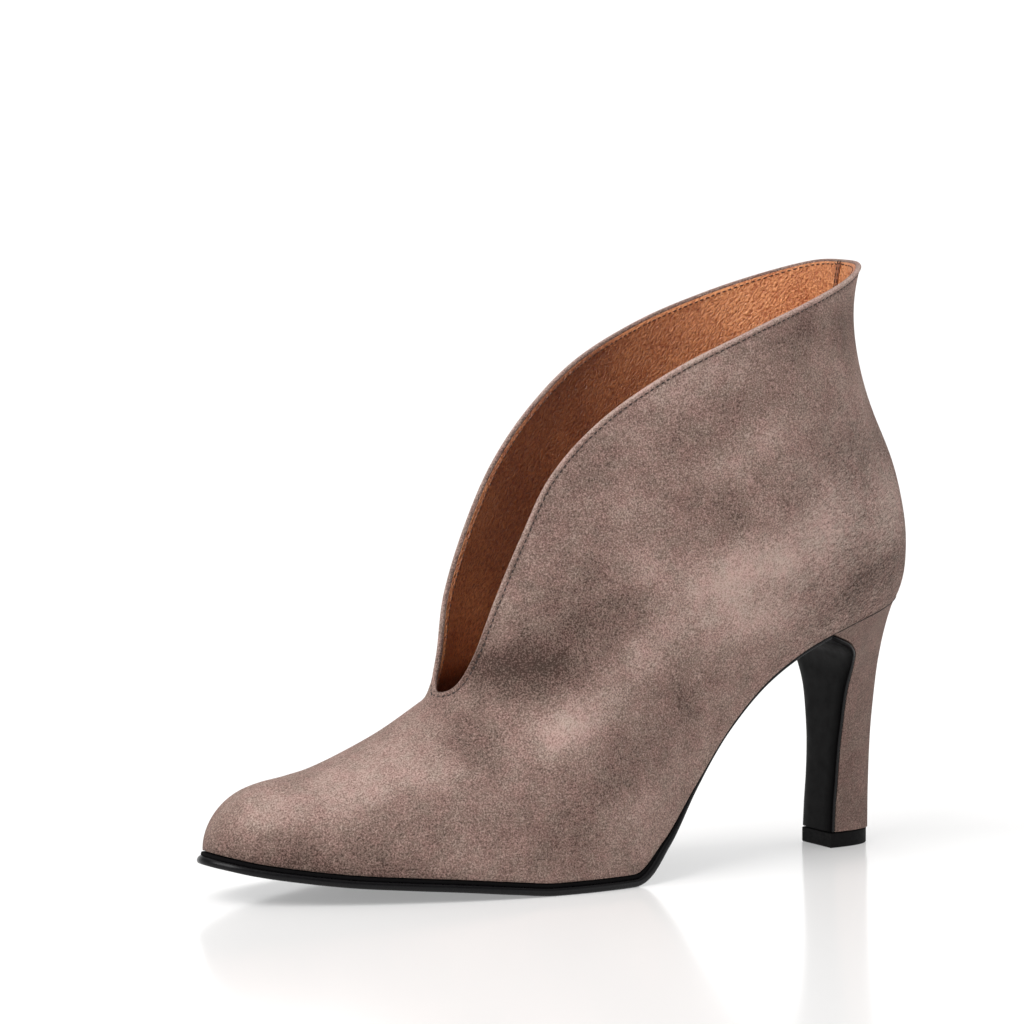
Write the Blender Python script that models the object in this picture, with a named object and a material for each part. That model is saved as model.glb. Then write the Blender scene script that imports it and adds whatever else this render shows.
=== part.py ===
"""Left high-heeled ankle bootie in suede, with a deep cut down the instep and a slim D-shaped heel.

Metres. The origin is the centre of the top piece on the floor, under the heel. +X runs to the toe, +Y to
the outer side of the left foot and +Z up. Five pieces: upper, insole, outsole with its breast flap, heel and
top piece.
"""
import math

import bmesh
import bpy
from mathutils import Vector

# The foot's own sizes, which the tables below share out.
LENGTH = 0.2290          # bottom edge of the upper, from the back of the heel to the toe tip, along the floor
BALL_WIDTH = 0.0745      # bottom edge of the upper, across the ball of the foot
HEEL_RISE = 0.0730       # bottom edge of the upper at the back of the heel, above the edge at the ball
INSTEP = 0.0526          # lowest point of the front cut, above the bottom edge at the ball
COLLAR_RISE = 0.1733     # back of the collar above the bottom edge at the ball
COLLAR_WIDTH = 0.0600    # collar across its widest place
HEEL_SETBACK = 0.0158    # from the middle of the top piece back to the rearmost bottom edge of the upper

# Sizes that are set by themselves.
WALL = 0.0020            # upper, suede and lining together
INSOLE_THICKNESS = 0.0024
SOLE_THICKNESS = 0.0034  # outsole under the forefoot
SHANK_THICKNESS = 0.0014  # outsole under the waist and down the breast
WELT = 0.0011            # outsole beyond the upper, round the forefoot
WAIST_INSET = 0.0012     # outsole inside the upper's edge, under the waist
HEEL_INSET = 0.0004      # heel inside the upper's edge, round the seat
TIP_WIDTH = 0.0160
TIP_LENGTH = 0.0176
TOP_PIECE_THICKNESS = 0.0046
TOP_PIECE_INSET = 0.0003
CLEARANCE = 0.0003       # between pieces that touch

# How finely the curved pieces are cut into facets.
RIBS = 52                # from the toe to the heel, on each side of the upper
RIB_STEPS = 12           # from the bottom edge to the top line
HEEL_STEPS = 16          # from the top piece to the seat, and up the outsole's flap
HEEL_TURN = 20           # round the back of the heel
SOLE_STEPS = 46          # along the outsole, from the toe to the breast
BEAD_STEPS = 6           # round the outsole's edge
SEARCH_STEPS = 40        # halvings, to find the row at a place along the shoe
NUDGE = 0.02             # part of a row over which the bottom edge's direction is measured
RIDGE_NUDGE = 0.2        # part of a row over which the ridge's direction is measured
MERGE = 1e-6             # points nearer than this are one point
SHARP_ANGLE = math.radians(40)

# Bottom edge of the upper, from the toe tip to the back of the heel. Along is a share of LENGTH from the
# back, rise a share of HEEL_RISE above the edge at the ball, outer and inner shares of BALL_WIDTH from the
# middle.
EDGE_COLUMNS = ("place", "along", "rise", "outer", "inner")
EDGE_ROWS = (
    ("toe tip", 1.000, 0.150, -0.094, 0.094),
    ("toe corner", 0.988, 0.139, 0.012, 0.194),
    ("toe", 0.957, 0.115, 0.096, 0.268),
    ("toe box", 0.911, 0.091, 0.182, 0.334),
    ("small toes", 0.851, 0.067, 0.270, 0.389),
    ("vamp", 0.785, 0.050, 0.345, 0.437),
    ("vamp back", 0.720, 0.034, 0.408, 0.475),
    ("joints", 0.658, 0.015, 0.452, 0.497),
    ("ball front", 0.602, 0.000, 0.477, 0.505),
    ("ball", 0.545, 0.000, 0.485, 0.500),
    ("ball back", 0.488, 0.000, 0.468, 0.468),
    ("arch front", 0.432, 0.114, 0.416, 0.396),
    ("arch", 0.370, 0.310, 0.348, 0.322),
    ("waist", 0.309, 0.538, 0.322, 0.297),
    ("waist back", 0.248, 0.716, 0.320, 0.300),
    ("breast", 0.187, 0.829, 0.322, 0.310),
    ("seat", 0.126, 0.903, 0.318, 0.310),
    ("seat back", 0.065, 0.955, 0.272, 0.268),
    ("heel corner", 0.018, 0.990, 0.165, 0.163),
    ("heel back", 0.000, 1.000, 0.000, 0.000),
)

# Top line: the ridge from the toe to the bottom of the front cut, then the collar's edge round to the back.
# Along is a share of LENGTH. The ridge's lift is a share of INSTEP, and aside a share of BALL_WIDTH towards
# the inner side. The collar's lift is a share of COLLAR_RISE, and half is a share of COLLAR_WIDTH.
RIDGE_COLUMNS = ("place", "along", "lift", "aside")
RIDGE_ROWS = (
    ("toe tip", 0.926, 0.556, 0.074),
    ("toe corner", 0.922, 0.560, 0.073),
    ("toe", 0.908, 0.572, 0.068),
    ("toe box", 0.881, 0.590, 0.060),
    ("small toes", 0.842, 0.628, 0.047),
    ("vamp", 0.794, 0.710, 0.032),
    ("vamp back", 0.742, 0.828, 0.014),
    ("cut", 0.685, 1.000, 0.000),
)
COLLAR_COLUMNS = ("place", "along", "lift", "half")
COLLAR_ROWS = (
    ("cut", 0.685, 0.304, 0.000),
    ("cut front", 0.676, 0.317, 0.104),
    ("cut corner", 0.660, 0.366, 0.168),
    ("cut side", 0.640, 0.458, 0.236),
    ("instep", 0.606, 0.564, 0.273),
    ("shin", 0.563, 0.668, 0.292),
    ("shin side", 0.498, 0.758, 0.352),
    ("collar front", 0.410, 0.836, 0.447),
    ("collar side", 0.305, 0.897, 0.500),
    ("ankle", 0.209, 0.941, 0.472),
    ("collar back", 0.130, 0.974, 0.375),
    ("collar corner", 0.078, 0.996, 0.208),
    ("heel back", 0.064, 1.000, 0.000),
)

# Fullness of each rib, a curve with a handle at each end, as shares of the rib's own length: how far the
# lower handle stands out and up, and how far the upper one stands out and down.
RIB_COLUMNS = ("place", "low_out", "low_up", "top_out", "top_down")
RIB_ROWS = (
    ("toe tip", 0.230, 0.350, 0.470, 0.000),
    ("toe corner", 0.200, 0.370, 0.450, 0.000),
    ("toe", 0.140, 0.410, 0.420, 0.000),
    ("toe box", 0.090, 0.430, 0.380, 0.000),
    ("small toes", 0.080, 0.440, 0.360, 0.000),
    ("vamp", 0.070, 0.430, 0.330, 0.000),
    ("vamp back", 0.060, 0.410, 0.290, 0.010),
    ("cut", 0.050, 0.390, 0.215, 0.030),
    ("cut front", 0.045, 0.370, 0.140, 0.080),
    ("cut corner", 0.045, 0.360, 0.105, 0.150),
    ("cut side", 0.050, 0.350, 0.100, 0.230),
    ("instep", 0.060, 0.340, 0.080, 0.290),
    ("shin", 0.070, 0.330, 0.070, 0.320),
    ("shin side", 0.080, 0.330, 0.055, 0.330),
    ("collar front", 0.090, 0.330, 0.030, 0.330),
    ("collar side", 0.095, 0.330, 0.000, 0.330),
    ("ankle", 0.110, 0.320, -0.040, 0.330),
    ("collar back", 0.130, 0.300, -0.090, 0.340),
    ("collar corner", 0.165, 0.275, -0.150, 0.350),
    ("heel back", 0.168, 0.265, -0.160, 0.359),
)

# Heel from the top piece to the seat: how far each level has gone from the tip's outline to the seat's,
# across, at the back and at the breast.
HEEL_COLUMNS = ("level", "widen", "back", "breast")
HEEL_ROWS = (
    (0.00, 0.000, 0.000, 0.000),
    (0.12, 0.000, 0.010, -0.030),
    (0.26, 0.006, 0.060, -0.090),
    (0.40, 0.030, 0.140, -0.130),
    (0.54, 0.105, 0.280, -0.160),
    (0.68, 0.215, 0.460, -0.170),
    (0.79, 0.400, 0.630, -0.155),
    (0.88, 0.620, 0.790, -0.050),
    (0.94, 0.800, 0.890, 0.240),
    (1.00, 1.000, 1.000, 1.000),
)

LAST = len(EDGE_ROWS) - 1
CUT = len(RIDGE_ROWS) - 1
BALL_HEIGHT = SOLE_THICKNESS + CLEARANCE     # bottom edge of the upper at the ball
SHANK_START = 10.0       # row of EDGE_ROWS, counted from the toe, where the outsole begins to thin
SHANK_ROWS = 2.6         # rows over which it thins
BREAST_PLACE = 15.6      # row of EDGE_ROWS, counted from the toe, where the heel's breast meets the edge
TIP_ROUNDNESS = 0.85     # power that squares the tip's half circle into a D, whose full round is 1
MITRE_LIMIT = 0.7        # least cosine that a bend in the outsole is mitred by


def column(rows, names, name):
    return [row[names.index(name)] for row in rows]


def smooth(values, place, before, after):
    """Curve through evenly spaced values, read at a row number that may lie between two rows."""
    ends = [before] + list(values) + [after]
    low = min(max(int(place), 0), len(values) - 2)
    a, b, c, d = ends[low:low + 4]
    t = place - low
    square = 2 * a - 5 * b + 4 * c - d
    cube = 3 * b - a - 3 * c + d
    return b + 0.5 * ((c - a) * t + square * t ** 2 + cube * t ** 3)


def even(values, place):
    """Curve of a value that is the same on both sides of the shoe."""
    return smooth(values, place, values[1], values[-2])


def settle(values, place):
    """Curve that never swings past its rows, so that a level stretch stays level."""
    steps = [b - a for a, b in zip(values, values[1:])]
    slopes = [0.0]
    for a, b in zip(steps, steps[1:]):
        slopes.append(2 * a * b / (a + b) if a * b > 0 else 0.0)
    slopes.append(0.0)
    low = min(max(int(place), 0), len(values) - 2)
    t = place - low
    a, b = values[low], values[low + 1]
    rise = steps[low]
    start, end = slopes[low], slopes[low + 1]
    return a + start * t + (3 * rise - 2 * start - end) * t * t + (start + end - 2 * rise) * t ** 3


EDGE = {name: column(EDGE_ROWS, EDGE_COLUMNS, name) for name in EDGE_COLUMNS[1:]}
RIDGE = {name: column(RIDGE_ROWS, RIDGE_COLUMNS, name) for name in RIDGE_COLUMNS[1:]}
COLLAR = {name: column(COLLAR_ROWS, COLLAR_COLUMNS, name) for name in COLLAR_COLUMNS[1:]}
RIB = {name: column(RIB_ROWS, RIB_COLUMNS, name) for name in RIB_COLUMNS[1:]}
HEEL = {name: column(HEEL_ROWS, HEEL_COLUMNS, name) for name in HEEL_COLUMNS}


def edge_point(place, side):
    """Bottom edge of the upper. Side is 1 on the outer side and -1 on the inner side."""
    own, other = (EDGE["outer"], EDGE["inner"]) if side > 0 else (EDGE["inner"], EDGE["outer"])
    across = smooth(own, place, -other[1], -other[-2])
    along = even(EDGE["along"], place)
    height = BALL_HEIGHT + settle(EDGE["rise"], place) * HEEL_RISE
    return Vector((along * LENGTH - HEEL_SETBACK, side * across * BALL_WIDTH, height))


def edge_outward(place, side):
    """Level direction that points out of the shoe, square to its bottom edge."""
    past = place + NUDGE
    ahead = edge_point(place - NUDGE, side) if place > NUDGE else edge_point(NUDGE - place, -side)
    behind = edge_point(past, side) if past < LAST else edge_point(2 * LAST - past, -side)
    run = behind - ahead
    return Vector((-run.y * -side, run.x * -side, 0.0)).normalized()


def ridge_value(name, place):
    """Curve of a value along the vamp's ridge, which ends at the bottom of the front cut."""
    values = RIDGE[name]
    return smooth(values, place, values[1], 2 * values[-1] - values[-2])


def top_point(place, side):
    """Top line: the ridge of the vamp, then the collar's edge."""
    if place <= CUT:
        along = ridge_value("along", place)
        height = ridge_value("lift", place) * INSTEP
        across = -ridge_value("aside", place) * BALL_WIDTH
    else:
        turn = place - CUT
        lifts = [INSTEP / COLLAR_RISE] + COLLAR["lift"][1:]
        halves = COLLAR["half"]
        along = even(COLLAR["along"], turn)
        height = even(lifts, turn) * COLLAR_RISE
        across = side * smooth(halves, turn, -halves[1], -halves[-2]) * COLLAR_WIDTH
    return Vector((along * LENGTH - HEEL_SETBACK, across, BALL_HEIGHT + height))


def ridge_forward(place):
    """Direction of the vamp's ridge towards the toe, and level behind the front cut."""
    if place > CUT:
        return Vector((1.0, 0.0, 0.0))
    low = max(place - RIDGE_NUDGE, 0.0)
    return (top_point(low, 1) - top_point(low + RIDGE_NUDGE, 1)).normalized()


def rib_point(place, side, share):
    """Outer face of the upper: one rib's curve from the bottom edge to the top line."""
    foot = edge_point(place, side)
    head = top_point(place, side)
    span = (head - foot).length
    out = edge_outward(place, side)
    run = Vector((head.x - foot.x, 0.0, head.z - foot.z)).normalized()
    low_out, low_up = (even(RIB[name], place) * span for name in ("low_out", "low_up"))
    top_out, top_down = (even(RIB[name], place) * span for name in ("top_out", "top_down"))
    along_top = ridge_forward(place) * out.x + Vector((0.0, out.y, 0.0))
    a = foot + out * low_out + run * low_up
    b = head + along_top * top_out - run * top_down
    t = share
    u = 1.0 - t
    return foot * u ** 3 + a * (3 * u * u * t) + b * (3 * u * t * t) + head * t ** 3


def finish(bm, name, material):
    """Turn a closed bmesh into a named object with smooth faces and sharp edges kept sharp."""
    bmesh.ops.remove_doubles(bm, verts=bm.verts[:], dist=MERGE)
    bmesh.ops.recalc_face_normals(bm, faces=bm.faces[:])
    mesh = bpy.data.meshes.new(name)
    bm.to_mesh(mesh)
    bm.free()
    mesh.shade_smooth()
    mesh.set_sharp_from_angle(angle=SHARP_ANGLE)
    item = bpy.data.objects.new(name, mesh)
    item.data.materials.append(material)
    bpy.context.scene.collection.objects.link(item)
    return item


def plain_material(name, colour, roughness):
    material = bpy.data.materials.new(name)
    material.use_nodes = True
    shader = material.node_tree.nodes["Principled BSDF"]
    shader.inputs["Base Color"].default_value = (*colour, 1.0)
    shader.inputs["Roughness"].default_value = roughness
    shader.inputs["Metallic"].default_value = 0.0
    return material


def loop_places(count):
    """Rows all round the shoe: out along the outer side from the toe tip, and back along the inner side."""
    outer = [(LAST * i / count, 1) for i in range(count + 1)]
    inner = [(LAST * i / count, -1) for i in range(count - 1, 0, -1)]
    return outer + inner


def bridge(bm, first, second):
    """Faces between two closed loops of points."""
    for i in range(len(first)):
        j = (i + 1) % len(first)
        face = [first[i], first[j], second[j], second[i]]
        face = [vert for k, vert in enumerate(face) if vert is not face[k - 1]]
        if len(face) > 2:
            bm.faces.new(face)


def make_upper(material):
    """One hollow wall from the bottom edge to the ridge and the collar, open at the collar and underneath."""
    places = loop_places(RIBS)
    bm = bmesh.new()
    rows = [[bm.verts.new(rib_point(p, s, j / RIB_STEPS)) for p, s in places] for j in range(RIB_STEPS)]
    crest = {}
    top = []
    for p, s in places:
        key = (p, 0) if p <= CUT or p == LAST else (p, s)
        if key not in crest:
            crest[key] = bm.verts.new(top_point(p, s))
        top.append(crest[key])
    rows.append(top)
    for low, high in zip(rows, rows[1:]):
        bridge(bm, low, high)
    bmesh.ops.recalc_face_normals(bm, faces=bm.faces[:])
    bm.normal_update()
    if rows[0][len(places) // 4].normal.y < 0:
        bmesh.ops.reverse_faces(bm, faces=bm.faces[:])
        bm.normal_update()
    inside = {}
    for j, row in enumerate(rows):
        for (p, s), vert in zip(places, row):
            way = edge_outward(p, s) if j == 0 else vert.normal
            if vert not in inside:
                inside[vert] = bm.verts.new(vert.co - way * WALL)
    outer_faces = bm.faces[:]
    for face in outer_faces:
        bm.faces.new([inside[vert] for vert in reversed(face.verts[:])])
    for edge in [edge for edge in bm.edges[:] if len(edge.link_faces) == 1]:
        a, b = edge.verts
        if a in inside and b in inside:
            bm.faces.new([a, b, inside[b], inside[a]])
    return finish(bm, "upper", material)


def bottom_height(x):
    """Height of the upper's bottom edge above the floor, at a place along the shoe."""
    low, high = 0.0, float(LAST)
    for _ in range(SEARCH_STEPS):
        middle = 0.5 * (low + high)
        if edge_point(middle, 1).x > x:
            low = middle
        else:
            high = middle
    return edge_point(low, 1).z


def make_insole(material):
    """Insole inside the upper, from the toe to the back of the heel, on the outsole and the heel's seat."""
    places = loop_places(RIBS)
    bm = bmesh.new()
    loops = []
    for height in (0.0, INSOLE_THICKNESS):
        loop = []
        for p, s in places:
            at = edge_point(p, s) - edge_outward(p, s) * (WALL + CLEARANCE)
            at.z = bottom_height(at.x) + height
            loop.append(bm.verts.new(at))
        loops.append(loop)
    bridge(bm, loops[0], loops[1])
    for loop in loops:
        fill_across(bm, loop, RIBS)
    return finish(bm, "insole", material)


def fill_across(bm, loop, count):
    """Strips from the outer to the inner side of a loop that runs round the shoe."""
    total = len(loop)
    for i in range(count):
        ring = [loop[i], loop[i + 1], loop[(total - i - 1) % total], loop[(total - i) % total]]
        ring = [vert for k, vert in enumerate(ring) if vert is not ring[k - 1]]
        if len(ring) > 2:
            bm.faces.new(ring)


def heel_level(name, level):
    """How far the heel's outline has gone from the tip's to the seat's at a level from 0 to 1."""
    levels = HEEL["level"]
    for i in range(len(levels) - 1):
        if level <= levels[i + 1] or i == len(levels) - 2:
            place = i + (level - levels[i]) / (levels[i + 1] - levels[i])
            return settle_between(HEEL[name], levels, place)
    return 1.0


def settle_between(values, levels, place):
    """Curve through rows that aren't evenly spaced, with slopes that keep it from swinging."""
    steps = [(b - a) / (d - c) for a, b, c, d in zip(values, values[1:], levels, levels[1:])]
    slopes = [steps[0]]
    for a, b in zip(steps, steps[1:]):
        slopes.append(2 * a * b / (a + b) if a * b > 0 else 0.0)
    slopes.append(steps[-1])
    low = min(int(place), len(values) - 2)
    width = levels[low + 1] - levels[low]
    t = place - low
    rise = values[low + 1] - values[low]
    start, end = slopes[low] * width, slopes[low + 1] * width
    return values[low] + start * t + (3 * rise - 2 * start - end) * t * t + (start + end - 2 * rise) * t ** 3


HEEL_BASE = TOP_PIECE_THICKNESS + CLEARANCE
TIP_FRONT = TIP_LENGTH / 2 - SHANK_THICKNESS - CLEARANCE
TIP_BACK = -TIP_LENGTH / 2


def tip_point(turn, front):
    """D-shaped outline of the heel's tip, straight at the breast and round at the back.

    Turn runs from 0 at the breast's outer corner to 1 at its inner corner.
    """
    angle = math.pi * turn
    across = TIP_WIDTH / 2 * math.copysign(abs(math.cos(angle)) ** TIP_ROUNDNESS, math.cos(angle))
    along = front - (front - TIP_BACK) * math.sin(angle) ** TIP_ROUNDNESS
    return along, across


def seat_point(turn):
    """Outline of the seat, from the breast's outer corner round the back to its inner corner."""
    side = 1 if turn <= 0.5 else -1
    share = 2 * turn if turn <= 0.5 else 2 * (1 - turn)
    place = BREAST_PLACE + (LAST - BREAST_PLACE) * share
    at = edge_point(place, side) - edge_outward(place, side) * HEEL_INSET
    at.x = min(at.x, edge_point(BREAST_PLACE, side).x - CLEARANCE)
    return at


def heel_point(turn, level):
    """Side of the heel at a level from the top piece, 0, to the seat, 1."""
    low_x, low_y = tip_point(turn, TIP_FRONT)
    high = seat_point(turn)
    backness = math.sin(math.pi * turn)
    reach = heel_level("back", level) * backness + heel_level("breast", level) * (1 - backness)
    x = low_x + (high.x - low_x) * reach
    y = low_y + (high.y - low_y) * heel_level("widen", level)
    z = HEEL_BASE + (high.z - CLEARANCE - HEEL_BASE) * level
    return Vector((x, y, z))


def make_heel(material):
    """Covered heel block, from the top piece up to the seat, slimmest above its tip."""
    bm = bmesh.new()
    turns = [i / HEEL_TURN for i in range(HEEL_TURN + 1)]
    rings = []
    for step in range(HEEL_STEPS + 1):
        rings.append([bm.verts.new(heel_point(turn, step / HEEL_STEPS)) for turn in turns])
    for low, high in zip(rings, rings[1:]):
        bridge(bm, low, high)
    for ring in (rings[0], rings[-1]):
        for i in range(HEEL_TURN // 2):
            strip = [ring[i], ring[i + 1], ring[HEEL_TURN - i - 1], ring[HEEL_TURN - i]]
            strip = [vert for k, vert in enumerate(strip) if vert is not strip[k - 1]]
            bm.faces.new(strip)
    return finish(bm, "heel", material)


def shank_share(place):
    """From 0 under the ball to 1 under the waist."""
    share = min(max((place - SHANK_START) / SHANK_ROWS, 0.0), 1.0)
    return share * share * (3 - 2 * share)


def sole_thickness(place):
    """Full under the forefoot, thinning through the arch to the waist."""
    return SOLE_THICKNESS + (SHANK_THICKNESS - SOLE_THICKNESS) * shank_share(place)


def sole_overhang(place):
    """Beyond the upper round the forefoot, inside its edge under the waist."""
    return WELT - (WELT + WAIST_INSET) * shank_share(place)


def turned(way):
    """Direction square to a path in the side view, on the side that faces the floor and then the toe."""
    return Vector((-way.z, 0.0, way.x)).normalized()


def breast_points(level):
    """Both corners of the heel's breast at a level from the top piece, 0, to the seat, 1."""
    return heel_point(0.0, level), heel_point(1.0, level)


def sole_stations():
    """Stations of the outsole's upper face, from the toe tip over the waist and down the breast.

    Each holds its outer and inner points, their outward ways and the thickness there.
    """
    stations = []
    for i in range(SOLE_STEPS + 1):
        place = BREAST_PLACE * i / SOLE_STEPS
        thick = sole_thickness(place)
        points = []
        ways = []
        for side in (1, -1):
            way = edge_outward(place, side)
            edge = edge_point(place, side)
            at = edge + way * (sole_overhang(place) - thick / 2)
            if place > SHANK_START:
                at.x = edge.x
            at.z = bottom_height(at.x) - CLEARANCE
            points.append(at)
            ways.append(way)
        stations.append((points, ways, thick))
    across = Vector((0.0, 1.0, 0.0))
    for i in range(1, HEEL_STEPS + 1):
        level = 1.0 - i / HEEL_STEPS
        outer, inner = breast_points(level)
        ahead = turned(outer - breast_points(level + 1.0 / HEEL_STEPS)[0])
        points = [outer + ahead * CLEARANCE - across * (SHANK_THICKNESS / 2)]
        points.append(inner + ahead * CLEARANCE + across * (SHANK_THICKNESS / 2))
        stations.append((points, [across, -across], SHANK_THICKNESS))
    return stations


def make_outsole(material):
    """Outsole under forefoot and waist, which runs on down the heel's breast as a flap."""
    stations = sole_stations()
    bm = bmesh.new()
    middles = [(points[0] + points[1]) / 2 for points, _, _ in stations]
    loops = []
    for k, (points, ways, thick) in enumerate(stations):
        here = turned(middles[k] - middles[k - 1]) if k else turned(middles[1] - middles[0])
        after = turned(middles[k + 1] - middles[k]) if k + 1 < len(middles) else here
        down = (here + after).normalized()
        depth = down * thick / max(down.dot(here), MITRE_LIMIT)
        loop = []
        for point, way in zip(points, ways):
            bead = []
            for step in range(BEAD_STEPS + 1):
                angle = math.pi * step / BEAD_STEPS
                at = point + depth * (1 - math.cos(angle)) / 2 + way * (thick / 2 * math.sin(angle))
                bead.append(bm.verts.new(at))
            loop.append(bead)
        loops.append(loop[0] + loop[1][::-1])
    for low, high in zip(loops, loops[1:]):
        bridge(bm, low, high)
    bm.faces.new(loops[0])
    bm.faces.new(loops[-1][::-1])
    return finish(bm, "outsole", material)


def make_top_piece(material):
    """Hard lift that the heel stands on, with the heel's outline and its flap's."""
    bm = bmesh.new()
    front = TIP_LENGTH / 2
    turns = [i / HEEL_TURN for i in range(HEEL_TURN + 1)]
    rings = []
    for height in (0.0, TOP_PIECE_THICKNESS):
        ring = []
        for turn in turns:
            x, y = tip_point(turn, front)
            shrink = 1 - 2 * TOP_PIECE_INSET / TIP_WIDTH
            ring.append(bm.verts.new(Vector((x * shrink, y * shrink, height))))
        rings.append(ring)
    bridge(bm, rings[0], rings[1])
    bm.faces.new(rings[0])
    bm.faces.new(rings[1][::-1])
    return finish(bm, "top_piece", material)


def build():
    for item in list(bpy.data.objects):
        bpy.data.objects.remove(item, do_unlink=True)
    make_upper(plain_material("suede", (0.26, 0.19, 0.16), 0.9))
    make_insole(plain_material("lining_leather", (0.27, 0.09, 0.04), 0.5))
    make_outsole(plain_material("sole_black", (0.012, 0.011, 0.012), 0.4))
    make_heel(plain_material("heel_suede", (0.20, 0.14, 0.12), 0.9))
    make_top_piece(plain_material("top_piece_black", (0.01, 0.01, 0.01), 0.5))


build()
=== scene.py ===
"""Left high-heeled ankle bootie in taupe suede, piece by piece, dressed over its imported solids.

Metres. +X runs to the toe, +Y to the outer side of the left foot and +Z up.
"""
import math

import bmesh
import bpy
import numpy as np
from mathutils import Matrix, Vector
from mathutils.bvhtree import BVHTree


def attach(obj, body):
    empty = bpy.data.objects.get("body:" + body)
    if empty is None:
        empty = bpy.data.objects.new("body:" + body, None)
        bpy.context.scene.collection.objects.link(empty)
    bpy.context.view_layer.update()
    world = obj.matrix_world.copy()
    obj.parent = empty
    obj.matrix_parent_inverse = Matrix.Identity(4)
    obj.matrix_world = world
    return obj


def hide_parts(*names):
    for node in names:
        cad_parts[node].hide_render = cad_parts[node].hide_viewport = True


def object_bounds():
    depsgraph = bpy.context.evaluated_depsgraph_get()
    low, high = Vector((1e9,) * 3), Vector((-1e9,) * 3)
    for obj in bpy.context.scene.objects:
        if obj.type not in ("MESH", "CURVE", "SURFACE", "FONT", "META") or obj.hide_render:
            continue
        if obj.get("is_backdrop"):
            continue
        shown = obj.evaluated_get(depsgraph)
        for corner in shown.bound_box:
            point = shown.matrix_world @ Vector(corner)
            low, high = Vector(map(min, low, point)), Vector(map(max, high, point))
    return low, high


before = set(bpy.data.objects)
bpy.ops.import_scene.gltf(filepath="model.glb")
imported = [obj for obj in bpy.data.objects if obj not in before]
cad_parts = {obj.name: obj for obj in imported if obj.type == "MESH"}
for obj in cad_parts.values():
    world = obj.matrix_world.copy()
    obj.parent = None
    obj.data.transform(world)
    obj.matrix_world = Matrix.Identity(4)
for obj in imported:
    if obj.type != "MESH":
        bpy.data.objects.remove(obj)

cad_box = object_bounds()

# Floor: a table of white plastic lit from below, with a clear gloss that mirrors the shoe faintly, as in a
# small product studio. The shoe stands on it on its top piece and the flat of its forefoot.
FLOOR_SIZE = 120.0
FLOOR_WHITE = "#dedddc"
FLOOR_GLOW = 0.42


def linear(colour):
    """Linear RGBA of an sRGB hex colour."""
    parts = [int(colour[i:i + 2], 16) / 255 for i in (1, 3, 5)]
    return [c / 12.92 if c <= 0.04045 else ((c + 0.055) / 1.055) ** 2.4 for c in parts] + [1.0]


def fill(item, values=(), links=()):
    """Set inputs of a node, and join others to outputs of other nodes."""
    for name, value in dict(values).items():
        item.inputs[name].default_value = value
    for name, source in dict(links).items():
        item.id_data.links.new(source, item.inputs[name])
    return item


def new_material(name):
    """Material with the nodes that Blender gives it, and its tree and shader."""
    material = bpy.data.materials.new(name)
    material.use_nodes = True
    tree = material.node_tree
    return material, tree, tree.nodes["Principled BSDF"]


def new_object(name, data):
    """Object at the origin, in the scene."""
    item = bpy.data.objects.new(name, data)
    bpy.context.scene.collection.objects.link(item)
    return item


def new_piece(name, points, faces, materials, face_slots=None):
    """Mesh object at the origin, shaded smooth."""
    mesh = bpy.data.meshes.new(name)
    mesh.from_pydata([tuple(map(float, p)) for p in points], [], faces)
    mesh.update()
    mesh.shade_smooth()
    for material in materials:
        mesh.materials.append(material)
    if face_slots is not None:
        mesh.polygons.foreach_set("material_index", face_slots)
    return new_object(name, mesh)


table, _, table_shader = new_material("lit_white_plastic")
fill(table_shader, {"Base Color": linear(FLOOR_WHITE), "Emission Color": (1.0, 1.0, 1.0, 1.0),
                    "Emission Strength": FLOOR_GLOW, "Roughness": 0.5, "Specular IOR Level": 0.2,
                    "Coat Weight": 0.75, "Coat Roughness": 0.13})
half = FLOOR_SIZE / 2
corners = [(-half, -half, 0), (half, -half, 0), (half, half, 0), (-half, half, 0)]
floor = new_piece("floor", corners, [(0, 1, 2, 3)], [table])
floor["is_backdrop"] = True

# Upper, suede: a calf suede cut in one piece from toe to heel, dyed taupe and brushed, and lasted over a
# pointed last. Its collar is folded over the lining and topstitched. The shape is a rib from the bottom edge
# to the top line at each place round the shoe, as the solids have it.
LENGTH = 0.2290
BALL_WIDTH = 0.0745
HEEL_RISE = 0.0730
INSTEP = 0.0526
COLLAR_RISE = 0.1733
COLLAR_WIDTH = 0.0600
HEEL_SETBACK = 0.0158
WALL = 0.0020
SOLE_THICKNESS = 0.0034
CLEARANCE = 0.0003
BALL_HEIGHT = SOLE_THICKNESS + CLEARANCE

EDGE_COLUMNS = ("along", "rise", "outer", "inner")
EDGE_ROWS = (
    (1.000, 0.150, -0.094, 0.094),
    (0.988, 0.139, 0.012, 0.194),
    (0.957, 0.115, 0.096, 0.268),
    (0.911, 0.091, 0.182, 0.334),
    (0.851, 0.067, 0.270, 0.389),
    (0.785, 0.050, 0.345, 0.437),
    (0.720, 0.034, 0.408, 0.475),
    (0.658, 0.015, 0.452, 0.497),
    (0.602, 0.000, 0.477, 0.505),
    (0.545, 0.000, 0.485, 0.500),
    (0.488, 0.000, 0.468, 0.468),
    (0.432, 0.114, 0.416, 0.396),
    (0.370, 0.310, 0.348, 0.322),
    (0.309, 0.538, 0.322, 0.297),
    (0.248, 0.716, 0.320, 0.300),
    (0.187, 0.829, 0.322, 0.310),
    (0.126, 0.903, 0.318, 0.310),
    (0.065, 0.955, 0.272, 0.268),
    (0.018, 0.990, 0.165, 0.163),
    (0.000, 1.000, 0.000, 0.000),
)
RIDGE_COLUMNS = ("along", "lift", "aside")
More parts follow.
